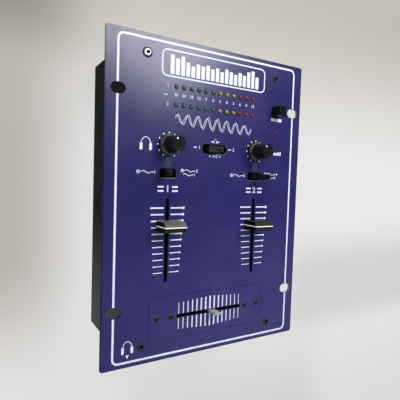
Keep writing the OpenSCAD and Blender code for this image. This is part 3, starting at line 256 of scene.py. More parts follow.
class Finish:
    """A material with its node tree, and short ways to add the nodes that finishes share."""

    def __init__(self, name, roughness=0.5, metallic=0.0, shine=0.5):
        self.mat = bpy.data.materials.new(name)
        self.mat.use_nodes = True
        self.tree = self.mat.node_tree
        self.shader = self.tree.nodes["Principled BSDF"]
        settle(self.shader, Metallic=metallic, Roughness=roughness, Specular_IOR_Level=shine)
        self.place = self.add("TexCoord").outputs["Object"]

    def add(self, kind, **settings):
        node = self.tree.nodes.new("ShaderNode" + kind)
        for key, value in settings.items():
            setattr(node, key, value)
        return node

    def link(self, source, target):
        self.tree.links.new(source, target)

    def noise(self, size_mm, detail=3.0, stretch=(1, 1, 1)):
        """Noise whose patches are about size_mm wide, stretched along an axis by a factor."""
        where = self.place
        if stretch != (1, 1, 1):
            mapping = self.add("Mapping")
            settle(mapping, Scale=[1 / s for s in stretch])
            self.link(where, mapping.inputs["Vector"])
            where = mapping.outputs["Vector"]
        node = self.add("TexNoise")
        settle(node, Scale=1 / (size_mm * MM), Detail=detail)
        self.link(where, node.inputs["Vector"])
        return node.outputs["Fac"]

    def levels(self, source, low, high, to_low=0.0, to_high=1.0, kind="LINEAR"):
        """Spreads source from low..high to to_low..to_high, and clamps it."""
        node = self.add("MapRange", interpolation_type=kind)
        settle(node, From_Min=low, From_Max=high, To_Min=to_low, To_Max=to_high)
        self.link(source, node.inputs["Value"])
        return node.outputs["Result"]

    def ramp(self, source, low_mm, high_mm, kind="SMOOTHSTEP"):
        """Nought at the first place and one at the second, both in millimetres."""
        return self.levels(source, low_mm * MM, high_mm * MM, kind=kind)

    def math(self, operation, a, b=0):
        node = self.add("Math", operation=operation)
        for value, socket in zip((a, b), node.inputs):
            if isinstance(value, (int, float)):
                socket.default_value = value
            else:
                self.link(value, socket)
        return node.outputs["Value"]

    def times(self, product, *others):
        """All the values multiplied."""
        for value in others:
            product = self.math("MULTIPLY", product, value)
        return product

    def band(self, value, low_mm, high_mm):
        """One where value lies between two places in millimetres, else nought."""
        above = self.math("GREATER_THAN", value, low_mm * MM)
        return self.times(above, self.math("LESS_THAN", value, high_mm * MM))

    def blend(self, share, first, second):
        """Mixes two colours by share; each is a screen colour or another mix."""
        node = self.add("Mix", data_type="RGBA")
        sockets = [s for s in node.inputs if s.type == "RGBA"]
        self.link(share, node.inputs[0])
        for value, socket in zip((first, second), sockets):
            if isinstance(value, tuple):
                socket.default_value = screen(*value)
            else:
                self.link(value, socket)
        return [s for s in node.outputs if s.type == "RGBA"][0]

    def axis(self, index, vector=None):
        """Part 0, 1 or 2 of the Object coordinates or of another vector."""
        node = self.add("SeparateXYZ")
        self.link(vector or self.place, node.inputs[0])
        return node.outputs[index]

    def normal(self, index):
        """One part of the surface's direction."""
        return self.axis(index, self.add("NewGeometry").outputs["Normal"])

    def colour(self, source):
        self.base = source
        self.link(source, self.shader.inputs["Base Color"])

    def gloss(self, source, low, high):
        self.link(self.levels(source, 0.3, 0.7, low, high), self.shader.inputs["Roughness"])

    def relief(self, source, height_mm, onto=None):
        node = self.add("Bump")
        settle(node, Strength=1.0, Distance=height_mm * MM)
        self.link(source, node.inputs["Height"])
        if onto is not None:
            self.link(onto, node.inputs["Normal"])
        self.link(node.outputs["Normal"], self.shader.inputs["Normal"])
        return node.outputs["Normal"]


def mixed(
    name, main, drift, patch_mm, grain_mm, rough, lift_mm, shine=0.5, metallic=0.0, stretch=(1, 1, 1)
):
    """The usual finish: a colour that drifts, and a grain that swings roughness and relief."""
    f = Finish(name, metallic=metallic, shine=shine)
    grain = f.noise(grain_mm, 2.0, stretch)
    f.colour(f.blend(f.levels(f.noise(patch_mm, 4.0), 0.35, 0.65), main, drift))
    f.gloss(grain, *rough)
    f.relief(grain, lift_mm)
    return f


print("mid grey as a shader takes it:", np.round(screen(128, 128, 128), 3))

# %% [markdown]
# ## The painted face
# The face is a steel plate with a dark blue satin powder coat. Powder melts
# into a skin with a faint orange-peel texture, so the coat gets two sizes of
# relief. Painted light makes it a little paler towards the front and the right,
# painted shade darkens it at the rim, and a thin painted highlight of bright
# bare steel lies in front of three openings. A painted reflection pales it
# under both knobs.

# %% Panel paint
# A bright steel colour used for painted highlights on the face and its edges.
painted_highlight_steel = (206, 204, 200)
knob_reflection_y = 42.5
lever_front_y, lever_front_x = (25.1, 25.8), (49.5, 65.5)
cue_front_y, cue_front_x = (cue_y - 5.9, cue_y - 5.3), (1.0, 12.5)


def panel_paint():
    f = Finish("panel_paint")
    across, along = f.axis(0), f.axis(1)
    from_middle = f.math("ABSOLUTE", across)
    mottle = f.times(f.levels(f.noise(38, 4.0), 0.35, 0.65), 0.35)
    # Painted light: the random mottle plus a tone that pales towards the front and darkens on the
    # left.
    mottle_and_painted_light = f.math("ADD", mottle, f.times(f.ramp(along, 10, -120), 0.65))
    mottle_and_painted_light = f.times(mottle_and_painted_light, f.levels(across, -110 * MM, 20 * MM, 0.4, 1.0))
    tone = f.blend(mottle_and_painted_light, (31, 30, 92), (57, 53, 114))
    # Painted shade: the tone darkens in a band along the plate's rim.
    painted_rim_shade = [
        f.ramp(f.math("ABSOLUTE", place), half - 1.5, half - 0.5, kind="LINEAR")
        for place, half in ((across, panel_half_w), (along, panel_half_l))
    ]
    tone = f.blend(f.math("MAXIMUM", *painted_rim_shade), tone, (16, 14, 38))
    # Painted reflection: a pale patch on the paint just under each knob.
    from_knob = f.math("ABSOLUTE", f.math("ADD", from_middle, -channel_x * MM))
    below_knob = f.math("ABSOLUTE", f.math("ADD", along, -knob_reflection_y * MM))
    painted_knob_reflection = f.times(f.ramp(from_knob, 6, 0), f.ramp(below_knob, 9, 2))
    tone = f.blend(f.times(painted_knob_reflection, 0.3), tone, (120, 110, 124))
    # Painted highlight: thin lines of bright bare steel in front of the lever openings and the cue
    # slot.
    lever_line = f.times(f.band(along, *lever_front_y), f.band(from_middle, *lever_front_x))
    cue_line = f.times(f.band(along, *cue_front_y), f.band(across, *cue_front_x))
    painted_highlight = f.math("MAXIMUM", lever_line, cue_line)
    f.colour(f.blend(painted_highlight, tone, painted_highlight_steel))
    f.link(painted_highlight, f.shader.inputs["Metallic"])
    peel = f.noise(1.1, 2.0)
    smear = f.noise(26, 4.0, (1, 1.8, 1))
    f.gloss(f.math("ADD", f.times(peel, 0.35), f.times(smear, 0.65)), 0.22, 0.28)
    f.relief(f.noise(0.35, 2.0), 0.003, onto=f.relief(peel, 0.006))
    return f.mat


mats = {"panel_paint": panel_paint()}
print("made", *mats)

# %% [markdown]
# ### The plate's cut edges
# The plate's edges are matt, and painted shade makes them nearly black. In the
# openings and the right rack slots they are bright bare steel instead, a painted
# highlight that is picked by place.

# %% Edge finish
opening_x, opening_y = (-78, 78), (20, 67)
rack_slot_x, rack_slot_y = (103, 122.5), (104, 120)


def panel_edge():
    f = Finish("panel_edge", roughness=0.6, shine=0.05)
    across, along = f.axis(0), f.axis(1)
    openings = f.times(f.band(across, *opening_x), f.band(along, *opening_y))
    from_middle = f.math("ABSOLUTE", along)
    rack_slots = f.times(f.band(across, *rack_slot_x), f.band(from_middle, *rack_slot_y))
    # Painted highlight: bright bare steel on the edges in the openings and the right rack slots.
    painted_edge_highlight = f.math("MAXIMUM", openings, rack_slots)
    # Painted shade: the other edges are nearly black.
    painted_shade_edge = f.blend(f.noise(2.5), (16, 14, 36), (24, 21, 44))
    f.colour(f.blend(painted_edge_highlight, painted_shade_edge, painted_highlight_steel))
    f.link(painted_edge_highlight, f.shader.inputs["Metallic"])
    f.relief(f.noise(0.5, 2.0), 0.01)
    return f.mat


mats["panel_edge"] = panel_edge()
print("made", *mats)

# %% [markdown]
# ## Paints, plastics and metals
# The chassis is black satin paint, faintly scuffed, and painted light makes it
# paler towards the front end, most of all on the left side. Knobs and caps are
# moulded plastic: a painted highlight pales the knobs' cones, a painted
# reflection the rear slope of the left cap, and painted shade blackens the
# caps' left ends. Zinc, nickel and bare steel differ in colour and in how their
# grain runs: rolled steel has long streaks, so its noise is stretched along X.
# The plain finishes stand in one table: two tones, the sizes of patches and
# grain, the range of roughness, the relief, and for some shine, metal and
# stretch.

# %% The other outside finishes


def chassis_paint():
    f = Finish("chassis_paint", shine=0.02)
    # Painted light: the paint pales towards the front end, most on faces turned to the left.
    front = f.ramp(f.axis(1), -10, -150)
    left = f.levels(f.math("LESS_THAN", f.normal(0), -0.5), 0.0, 1.0, 0.3, 1.0)
    scuffs = f.levels(f.noise(5, 6.0, (1, 3, 1)), 0.56, 0.8)
    base = f.blend(f.times(front, left), (16, 14, 16), (84, 84, 88))
    f.colour(f.blend(f.times(scuffs, 0.1), base, (70, 69, 64)))
    f.gloss(f.noise(18, 4.0), 0.5, 0.66)
    f.relief(f.noise(0.6, 2.0), 0.012)
    return f.mat


def cap_plastic():
    """Black plastic; painted shade blackens the left ends, and a painted reflection pales the rear
    slope of the left cap.
    """
    f = mixed("cap_plastic", (36, 36, 33), (46, 46, 41), 5, 0.3, (0.34, 0.46), 0.006, 0.06)
    # Painted reflection: the rear-facing slope of the left cap is paled in patches.
    on_left_cap = f.math("LESS_THAN", f.axis(0), 0)
    painted_slope_reflection = f.times(on_left_cap, f.levels(f.normal(1), 0.2, 0.6))
    painted_slope_reflection = f.times(painted_slope_reflection, f.levels(f.noise(3), 0.1, 0.5))
    with_slope_reflection = f.blend(painted_slope_reflection, f.base, (98, 96, 90))
    # Painted shade: faces turned to the left are made nearly black.
    f.colour(f.blend(f.math("LESS_THAN", f.normal(0), -0.7), with_slope_reflection, (10, 10, 11)))
    return f.mat


def knob_plastic():
    """Black plastic with a painted highlight: pale grey over the cone between the skirt's rim and the
    grip.
    """
    f = mixed("knob_painted_highlight", (19, 19, 20), (29, 29, 28), 5, 0.35, (0.36, 0.5), 0.01, 0.08)
    height = f.axis(2)
    # Painted highlight: a pale grey ring over the cone, patchy by noise.
    over_rim = f.ramp(height, face_z + 3.0, face_z + 3.6, kind="LINEAR")
    under_grip = f.ramp(height, face_z + 7.0, face_z + 5.8, kind="LINEAR")
    painted_highlight = f.times(over_rim, under_grip, f.levels(f.noise(6), 0.3, 0.6))
    f.colour(f.blend(painted_highlight, f.base, (84, 86, 81)))
    return f.mat


plain_finishes = {
    "white_ink": ((236, 238, 255), (222, 225, 250), 9, 0.5, (0.5, 0.7), 0.004),
    "thin_ink": ((212, 214, 242), (198, 200, 232), 9, 0.5, (0.5, 0.7), 0.004),
    "cap_line": ((250, 248, 238), (238, 235, 220), 4, 0.3, (0.45, 0.6), 0.004),
    "foot_rubber": ((34, 34, 33), (46, 45, 43), 6, 0.4, (0.75, 0.95), 0.02),
    "dark_screws": ((52, 52, 46), (38, 38, 35), 2, 0.25, (0.32, 0.55), 0.006, 0.25),
    "painted_shade_black": ((9, 9, 8), (14, 14, 12), 1, 0.2, (0.8, 0.95), 0.01, 0.03),
    "knob_plastic": ((19, 19, 20), (29, 29, 28), 5, 0.35, (0.36, 0.5), 0.01, 0.1),
    "switch_plastic": ((14, 14, 14), (20, 20, 19), 4, 0.4, (0.45, 0.6), 0.01, 0.1),
    "slider_plastic": ((32, 30, 26), (26, 25, 22), 3, 0.3, (0.4, 0.55), 0.01, 0.3),
    "button_plastic": ((14, 14, 17), (20, 20, 24), 6, 0.5, (0.25, 0.35), 0.003, 0.12),
    "zinc_steel": ((188, 186, 176), (168, 170, 168), 12, 0.4, (0.3, 0.45), 0.004, 0.5, 1.0, (8, 1, 1)),
    "bare_steel": ((212, 210, 202), (176, 172, 162), 3, 0.3, (0.34, 0.5), 0.006, 0.5, 0.7, (1, 1, 9)),
    "nickel": ((226, 224, 216), (206, 204, 198), 5, 0.5, (0.22, 0.34), 0.002, 0.5, 1.0),
    "power_collar": ((54, 38, 94), (62, 38, 84), 2, 0.3, (0.4, 0.5), 0.004, 0.2),
    "chip": ((34, 34, 36), (44, 44, 45), 3, 0.25, (0.5, 0.65), 0.01),
    "capacitor": ((32, 40, 96), (38, 48, 112), 4, 0.5, (0.2, 0.35), 0.005),
    "sink": ((200, 201, 204), (184, 186, 190), 8, 0.4, (0.3, 0.42), 0.005, 0.5, 1.0, (1, 1, 12)),
}
mats |= {name: mixed(name, *values).mat for name, values in plain_finishes.items()}
mats["chassis_paint"] = chassis_paint()
mats["cap_plastic"] = cap_plastic()
mats["knob_painted_highlight"] = knob_plastic()
print("finishes:", len(mats))

# %% [markdown]
# ## Finishes behind the panel
# Through the slots and openings the boards, the transformer and the cable can
# be glimpsed. A circuit board is green lacquer over copper tracks: a brick
# pattern stands for the tracks, a little lighter and a little raised. Windings
# and laminations are fine parallel lines, so a wave pattern draws them.

# %% Board, winding, lamination and the rest


def board_finish():
    f = Finish("board", roughness=0.35)
    tracks = f.add("TexBrick", offset=0.37, squash=0.6)
    settle(tracks, Scale=95.0, Mortar_Size=0.03, Mortar_Smooth=0.2)
    f.link(f.place, tracks.inputs["Vector"])
    lacquer = f.blend(f.noise(15), (28, 84, 48), (38, 98, 58))
    f.colour(f.blend(tracks.outputs["Fac"], lacquer, (74, 134, 84)))
    f.relief(tracks.outputs["Fac"], 0.035)
    return f.mat


def lined(name, main, line, line_mm, direction, rough):
    """Parallel lines: the wave sin(20 scale x), whose lines and gaps are line_mm wide each."""
    f = Finish(name, roughness=rough)
    wave = f.add("TexWave", bands_direction=direction)
    settle(wave, Scale=np.pi / (20 * line_mm * MM), Distortion=0.4, Detail=2.0)
    f.link(f.place, wave.inputs["Vector"])
    f.colour(f.blend(wave.outputs["Fac"], line, main))
    f.relief(wave.outputs["Fac"], 0.06)
    return f.mat


def insert_finish(middle_z):
    """White insulators in the upper row and red ones in the lower, told apart by height."""
    f = Finish("socket_insert", roughness=0.4)
    upper = f.ramp(f.axis(2), middle_z - 0.1, middle_z + 0.1, kind="LINEAR")
    tint = f.blend(upper, (172, 30, 30), (232, 232, 226))
    f.colour(f.blend(f.levels(f.noise(2), 0.3, 1.6), tint, (150, 140, 136)))
    f.relief(f.noise(0.4, 2.0), 0.006)
    return f.mat


mats["board"] = board_finish()
mats["winding"] = lined("winding", (176, 132, 62), (120, 82, 34), 0.8, "Z", 0.5)
mats["lamination"] = lined("lamination", (96, 92, 88), (52, 50, 48), 0.5, "Y", 0.45)
mats["ribbon"] = lined("ribbon", (176, 176, 182), (140, 140, 148), 1.27, "X", 0.5)
mats["socket_insert"] = insert_finish(np.mean([corner[2] for corner in box_of("rca_blocks")]))
print("finishes:", len(mats))

# %% [markdown]
# ## Tinted lenses
# Each lamp of the level meter is a domed lens of tinted resin. Unlit, it looks
# dark at its rim, where the light has the longest way through the resin, and
# brighter at the top of its dome. Height above the face tells rim from top, so
# this painted shade and light are mixed into the colour from it. A clear coat
# gives the hard little highlight.

# %% Lens finishes


def lens_finish(name, rim, top, coat=0.5, roughness=0.28):
    f = Finish(name, roughness=roughness, shine=0.3)
    settle(f.shader, Coat_Weight=coat, Coat_Roughness=0.04)
    cloud = f.blend(f.noise(0.9, 2.0), rim, (18, 22, 20))
    # Painted shade at the rim and painted light at the top, chosen by height.
    f.colour(f.blend(f.ramp(f.axis(2), face_z + 0.6, face_z + 1.9), cloud, top))
    f.relief(f.noise(0.5, 2.0), 0.01)
    return f.mat


for name, *look in (
    ("led_green", (10, 42, 30), (34, 90, 62)),
    ("led_yellow", (108, 96, 14), (164, 156, 34)),
    ("led_red", (104, 8, 22), (146, 12, 34)),
    ("power_lens", (54, 34, 80), (72, 36, 70), 0.05, 0.6),
):
    mats[name] = lens_finish(name, *look)
print("lens finishes made")

# %% [markdown]
# ## Dressing the solids
# Every solid already knows which of the part's finishes it takes. Its mesh is
# left alone, and only the material in its slots is exchanged. The closed cans
# of the faders are an exception: through the slots they look black.

# %% Give each solid its finish
slot_of = {row["node"]: row["material_slot"] for row in frame["record"]["subparts"]}
black_cans = ("crossfader_body", "channel_fader_bodies")
for name, solid in nodes.items():
    for used in solid.material_slots:
        used.material = mats["switch_plastic" if name in black_cans else slot_of[name]]
print("dressed:", len(slot_of), "solids")

# %% [markdown]
# ## Sheet metal with softened edges
# Punched and folded sheet has a small radius on every edge, and that radius
# catches a thin line of light. The solid's triangles are loose, so a copy is
# made, its triangles are joined and flattened into large faces, and a Bevel
# rounds what is left. The copy then stands for the solid.

# %% Softened copies
soft_angle = 35
upright = 0.7


def softened(node, width_mm, body="case", segments=2, edge=None):
    """Copies a solid, joins its triangles, and rounds its edges. Upright faces may take edge."""
    mesh = nodes[node].data.copy()
    mesh.name = node + "_soft"

    def flatten(work):
        bmesh.ops.remove_doubles(work, verts=work.verts, dist=merge_distance)
        flat = np.radians(0.5)
        bmesh.ops.dissolve_limit(work, angle_limit=flat, verts=work.verts, edges=work.edges)

    reworked(mesh, flatten)
    smooth_by_angle(mesh, soft_angle)
    piece = placed(node + "_soft", mesh)
    mesh.materials.clear()
    mesh.materials.append(mats[slot_of[node]])
    if edge is not None:
        mesh.materials.append(edge)
        facing = np.empty(len(mesh.polygons) * 3)
        mesh.polygons.foreach_get("normal", facing)
        second = (np.abs(facing[2::3]) < upright).astype(np.int32)
        mesh.polygons.foreach_set("material_index", second)
    rounded_edges(piece, width_mm, segments, soft_angle)
    hand_over(piece, body, [node])


for node in ("face_panel", "crossfader_plate"):
    softened(node, 0.3, edge=mats["panel_edge"])
for node, width in (("chassis_wrap", 0.5), ("front_wall", 0.4), ("rear_wall", 0.4)):
    softened(node, width)
softened("rubber_feet", 1.2, segments=3)
softened("cue_slider", 0.35, "cue")
softened("power_button", 1.0, "power", segments=4)
softened("crossfader_lever", 0.3, "crossfader")
socket_widths = {"mains_inlet": 0.6, "rca_sleeves": 0.25, "headphone_nut": 0.35, "ground_post": 0.25}
for node, width in socket_widths.items():
    softened(node, width)

# %% [markdown]
# ## Turned knobs
# A knob of this kind has a flat skirt, a cone that rises to the grip, and a
# grip with shallow flutes for the fingers. It is hollow underneath, where it
# covers the nut, and a bore takes the shaft. The whole skin, inside and out,
# is one profile from the blind end of the bore to the middle of the top, and the
# flutes are a wave in the radius that fades out at both ends of the grip.

# %% Knobs
bore_r, bore_top = 3.05, 18
hollow_r, hollow_top = 7.6, 4.4
flute_count, flute_depth = 18, 0.035


def knob(body):
    """Turns one knob: the radius follows the profile, times 1 - depth (half a wave)^2 on the grip."""
    node = body + "_knob"
    lo, hi = box_of(node)
    x, y = (lo[:2] + hi[:2]) / 2
    skirt = (hi[0] - lo[0]) / 2
    low, top = lo[2] - face_z, hi[2] - face_z
    inside = [(0, bore_top), (bore_r, bore_top), (bore_r, hollow_top)]
    inside += [(hollow_r, hollow_top), (hollow_r, low)]
    cone = [(skirt, low), (skirt, low + 2.0), (9.7, 5.2), (9.1, 6.4)]
    grip = [(8.75, 11), (8.35, 17), (7.95, top - 0.4), (7.3, top), (6.9, top - 0.15), (0, top - 0.35)]
    profile = eased(inside + cone + grip, 0.45)
    spans = [np.linspace(a, b, 5)[:-1] for a, b in zip(profile[:-1], profile[1:])]
    dense = np.concatenate(spans + [profile[-1:]])
    outer = (np.arange(len(dense)) >= np.argmax(dense[:, 0] > skirt - 1))[:, None]

    def flutes(a, z):
        held = np.clip((z - 5.8) / 1.6, 0, 1) * np.clip((top - 1.0 - z) / 1.0, 0, 1)
        wave = (0.5 - 0.5 * np.cos(flute_count * a)) ** 2
        return np.where(outer, 1 - flute_depth * held * wave, 1.0)

    surface = lathe(dense, 144, (x, y), flutes)
    make_piece(body + "_turned_knob", surface, "knob_painted_highlight", [node], 50, body)


for body in ("phones", "master"):
    knob(body)

# %% [markdown]
# ## Fader caps
# A fader cap is a tall wedge that fingertips push from both sides, so its two
# slopes are a little hollow. Its outline across the slot is drawn once, with
# each slope as a curve, and carried along the cap's width, narrowing slightly
# towards the top as a moulded part must to leave its mould. A Bevel then
# rounds the edges.

# %% Caps
half_ridge = 1.0
slope_height = 3.5
hollow_power = 1.35
cap_draft = 0.35


def cap(number, body):
    """Slope: y = ridge + (half length - ridge) (1 - t)^1.35 at z = height - 3.5 (1 - t)."""
    node = "fader_cap_%d" % number
    lo, hi = box_of(node)
    middle = (lo + hi) / 2
    half_w, half_l, height = (hi - lo) / [2, 2, 1]
    t = np.linspace(0, 1, 9)
    slope_y = half_ridge + (half_l - half_ridge) * (1 - t) ** hollow_power
    slope_z = height - slope_height * (1 - t)
    side_y = np.concatenate([[half_l, half_l], slope_y[1:]])
    side_z = np.concatenate([[0], slope_z])
    side = np.stack([side_y, side_z], -1)
    y, z = np.concatenate([side, side[::-1] * [-1, 1]]).T
    across = np.linspace(-1, 1, 5)[:, None]
    x = across * (half_w - cap_draft * z / height)
    points = np.stack([x, np.broadcast_to(y, x.shape), np.broadcast_to(z, x.shape)], -1)
    rows, count = x.shape
    ends = [list(range(count)), list(range((rows - 1) * count, rows * count))[::-1]]
    faces = grid_faces(rows, count, wrap_cols=True) + ends
    surface = points.reshape(-1, 3) + [middle[0], middle[1], lo[2]], faces
    name = "fader_cap_%d_moulded" % number
    piece = make_piece(name, surface, "cap_plastic", [node], 30, body)
    rounded_edges(piece, 0.45, 3, 30)
    return middle, half_w, height, lo[2]


# %% [markdown]
# The white line over a cap is filled into a groove. Here it is a thin strip
# that follows one end, the ridge and the other end, a hair proud of the
# plastic, so that it stays visible from the side as well as from above.

# %% The white line of each cap
line_proud, line_depth, half_line = 0.05, 0.45, 0.65


def cap_line(number, body, middle, half_w, height, base):
    """The path end, ridge, end, pushed out by proud and in by depth, and carried along Y."""
    node = "fader_cap_line_%d" % number
    top = half_w - cap_draft
    corners = np.array([[-half_w, 0.3], [-top, height], [top, height], [half_w, 0.3]])
    outwards = np.array([[-1, 0], [-1, 1], [1, 1], [1, 0]])
    outer = eased(corners + outwards * line_proud, 0.6, 5)
    inner = eased(corners - outwards * line_depth, 0.6, 5)
    ring = np.stack([outer, outer, inner, inner], 1)
    side = np.array([-1, 1, 1, -1]) * half_line
    y = np.broadcast_to(side + middle[1], ring.shape[:2])
    strip = tube(np.stack([ring[..., 0] + middle[0], y, ring[..., 1] + base], -1))
    make_piece("fader_cap_%d_line" % number, strip, "cap_line", [node], 40, body)


for number, body in ((1, "fader_1"), (2, "fader_2")):
    cap_line(number, body, *cap(number, body))

# %% [markdown]
# ## Source levers
# Each source lever is a small moulded paddle that leans to one side. Seen end
# on it is a rounded rectangle, and it narrows from root to tip. So it is a
# loft: a rounded rectangle whose two half widths shrink with height, closed by
# a dome, and tilted about the pivot as a whole.

# %% Levers
pivot_depth, lean_degrees = 6.5, 14.5
paddle_low, paddle_high, dome_h = -2.0, 26.4, 1.6
root_x, root_y = 3.5, 4.0
taper_x, taper_y = 1.0, 1.25
paddle_steps, corner_power = 48, 0.45


def lever(number, side):
    """Rows of |cos a|^0.45, |sin a|^0.45 with their signs, scaled row by row, then leant."""
    lean = np.radians(lean_degrees * side)
    pivot = np.array([channel_x * side, source_y, face_z - pivot_depth])
    bow = np.sin(np.linspace(0, np.pi / 2, 7))[1:]
    h = np.concatenate([np.linspace(paddle_low, paddle_high, 15), paddle_high + dome_h * bow])
    share = np.clip(h / (paddle_high + dome_h), 0, 1)
    arch = np.sqrt(np.clip(1 - ((h - paddle_high) / dome_h) ** 2, 0, 1))
    dome = np.where(h > paddle_high, arch * 0.35 + 0.65, 1.0)
    dome[-1] = 0.0
    half_x, half_y = (root_x - taper_x * share) * dome, (root_y - taper_y * share) * dome
    a = np.linspace(0, 2 * np.pi, paddle_steps, endpoint=False)
    round_x, round_y = (np.sign(f(a)) * np.abs(f(a)) ** corner_power for f in (np.cos, np.sin))
    x, y = half_x[:, None] * round_x, half_y[:, None] * round_y
    z = np.broadcast_to(h[:, None], x.shape)
    leant = [x * np.cos(lean) + z * np.sin(lean), y, z * np.cos(lean) - x * np.sin(lean)]
    points = np.stack(leant, -1).reshape(-1, 3) + pivot
    faces = grid_faces(len(h), paddle_steps, wrap_cols=True) + [list(range(paddle_steps))]
    node, body = "source_lever_%d" % number, "source_%d" % number
    make_piece(body + "_paddle", (points, faces), "knob_plastic", [node], 45, body)


lever(1, -1)
lever(2, 1)

# %% [markdown]
# ## Lenses of the level meter
# A lens is a short tube closed by a half ball. The twenty-four lenses differ
# only in place, so one lens is turned and then copied to each place by adding
# the places to its points, all at once. The power lamp is one more such lens
# in a low collar.

# %% Lenses


def copies(surface, places):
    """The same surface at many places: its points plus each place, its faces numbered on."""
    points, faces = surface
    stacked = (np.asarray(places, float)[:, None] + points[None]).reshape(-1, 3)
    starts = np.arange(len(places))[:, None, None] * len(points)
    return stacked, (starts + np.array(faces)[None]).reshape(-1, 4).tolist()


def lens():
    """A tube below a dome of radius r: height top - r + r sin e at radius r cos e."""
    r, foot_r, foot_h = 2.5, 2.9, 1.0
    e = np.linspace(0, np.pi / 2, 9)
    dome = np.stack([r * np.cos(e), lens_top - r + r * np.sin(e)], -1)
    stem = [[0, lens_low], [foot_r, lens_low], [foot_r, lens_low + foot_h], [r, lens_low + foot_h]]
    return lathe(np.concatenate([stem, dome]), 24)


lens_low, lens_top = (corner[2] - face_z for corner in box_of("leds_green"))
led_x = (np.arange(12) - 5.5) * led_pitch
groups = {"green": led_x[:6], "yellow": led_x[6:9], "red": led_x[9:]}
for colour, across in groups.items():
    surface = copies(lens(), [(x, y, 0) for y in led_rows for x in across])
    led = "led_" + colour
    make_piece("lenses_" + colour, surface, led, ["leds_" + colour])
make_piece("power_lens", copies(lens(), [(*power_led, 0)]), "power_lens")
collar = eased([(2.55, 0), (4.3, 0), (4.1, 0.3), (2.55, 0.4)], 0.1, closed=True)
make_piece("power_collar", lathe(collar, 48, power_led), "power_collar", [], 30)

# %% [markdown]
# ## Panel screws
# The four panel screws have a low domed head with a hexagon recess. The head is
# turned like a knob, but inside the recess the radius follows a hexagon. A thin
# black ring of painted shadow lies under the bright head, and black painted shade
# fills the recesses, also those of the crossfader's small screws.

# %% Screws
head_r, head_overhang = 3.8, 0.3
key, key_depth = 2.05, 1.2
small_head_r, inner_screw_x = 3.6, 49.4


def hexagon(a):
    """How far past its flats a hexagon reaches: 1 / cos(angle from the nearest flat's middle)."""
    return 1 / np.cos((a + np.pi / 6) % (np.pi / 3) - np.pi / 6)


def screw_head(radius, height):
    """Profile round the axis, its radius times hexagon(a) inside the recess."""
    corners = [(0, 0), (radius, 0), (radius, height * 0.45)]
    corners += [(radius * 0.72, height), (key * 1.16, height)]
    outside = eased(corners, 0.25)
    recess = [(key, height - 0.15), (key, height - key_depth), (0, height - key_depth - 0.1)]
    rows = np.concatenate([outside, recess])
    in_recess = (np.arange(len(rows)) >= len(outside))[:, None]
    return lathe(rows, 48, wave=lambda a, z: np.where(in_recess, hexagon(a), 1.0))


def add_screws(name, surface, places, finish, replaces=()):
    make_piece(name, copies(surface, places), finish, replaces, 30)


lo, hi = box_of("panel_screws")
sx, sy, head_h = hi[0] - head_r, hi[1] - head_r, hi[2] - face_z
head = screw_head(head_r + head_overhang, head_h)
bright = [(-sx, sy, 0)]
dark = [(sx, sy, 0), (-sx, -sy, 0), (sx, -sy, 0)]
add_screws("bright_panel_screw", head, bright, "nickel", ["panel_screws"])
add_screws("dark_panel_screws", head, dark, "dark_screws")
# Painted shadow: a black ring round the bright head.
shadow_ring = eased([(3.5, 0), (5.3, 0), (5.2, 0.3), (3.5, 0.3)], 0.1, closed=True)
add_screws("painted_shadow_ring", lathe(shadow_ring, 48), bright, "painted_shade_black")
# Painted shade: black plugs fill the hexagon recesses.
plug_r, plug_low = key - 0.02, head_h - 1.25
shade_plug = [(0, plug_low), (plug_r, plug_low), (plug_r, head_h - 0.2), (0, head_h - 0.3)]
shade_plug = lathe(eased(shade_plug, 0.05), 48, wave=lambda a, z: hexagon(a) + 0 * z)
add_screws("painted_recess_shade", shade_plug, bright + dark, "painted_shade_black")
small_x = box_of("crossfader_screws")[1][0] - small_head_r
small = [(x, crossfader_y, 0) for x in (-small_x, -inner_screw_x, inner_screw_x, small_x)]
# Painted shade: a black spot on each small crossfader screw.
spot = eased([(0, 0.9), (1.3, 0.9), (1.3, 1.03), (0, 1.03)], 0.03, 3)
add_screws("small_screw_painted_recess_shade", lathe(spot, 24), small, "painted_shade_black")

# %% [markdown]
# ## Printed marks
# The face is screen printed in white. A stroke is a path given a width: at each
# point of the path the tangent is turned by a quarter, and half the width is
# added on both sides. A filled mark is an outline with a top face. Both get the
# thickness of the ink, so they are thin solids that lie on the paint.

# %% Strokes and filled marks


def stroke(path, width, closed=False):
    """Ribbon along a flat path: p + n w/2 and p - n w/2, n the tangent turned by a quarter."""
    p = np.asarray(path, float)
    tangent = np.roll(p, -1, 0) - np.roll(p, 1, 0) if closed else np.gradient(p, axis=0)
    tangent /= np.maximum(np.linalg.norm(tangent, axis=1, keepdims=True), tiny)
    normal = np.stack([-tangent[:, 1], tangent[:, 0]], -1) * width / 2
    left, right = p + normal, p - normal
    low, high = (np.full((len(p), 1), z) for z in (face_z, face_z + ink_t))
    corners = ((left, low), (left, high), (right, high), (right, low))
    return tube(np.stack([np.hstack(corner) for corner in corners], 1), closed)


def patch(outline):
    """Filled mark: the outline at the paint and again at the ink's top, joined by its rim."""
    p = np.asarray(outline, float)
    n = len(p)
    rings = np.concatenate([np.column_stack([p, np.full(n, z)]) for z in (face_z, face_z + ink_t)])
    return rings, grid_faces(2, n, wrap_cols=True) + [list(range(n))[::-1], list(range(n, 2 * n))]


def rect(x0, y0, x1, y1, r=0.0):
    """A rectangle's corners, or for r a curve round each that starts r before it."""
    corners = np.array([[x0, y0], [x1, y0], [x1, y1], [x0, y1]])
    return eased(corners, r, 7, closed=True) if r else corners


def arc(x, y, r, start, end, steps=32, ry=None):
    """Points x + r cos a, y + ry sin a, for a from start to end in degrees."""
    a = np.radians(np.linspace(start, end, steps))
    return np.stack([x + r * np.cos(a), y + (r if ry is None else ry) * np.sin(a)], -1)


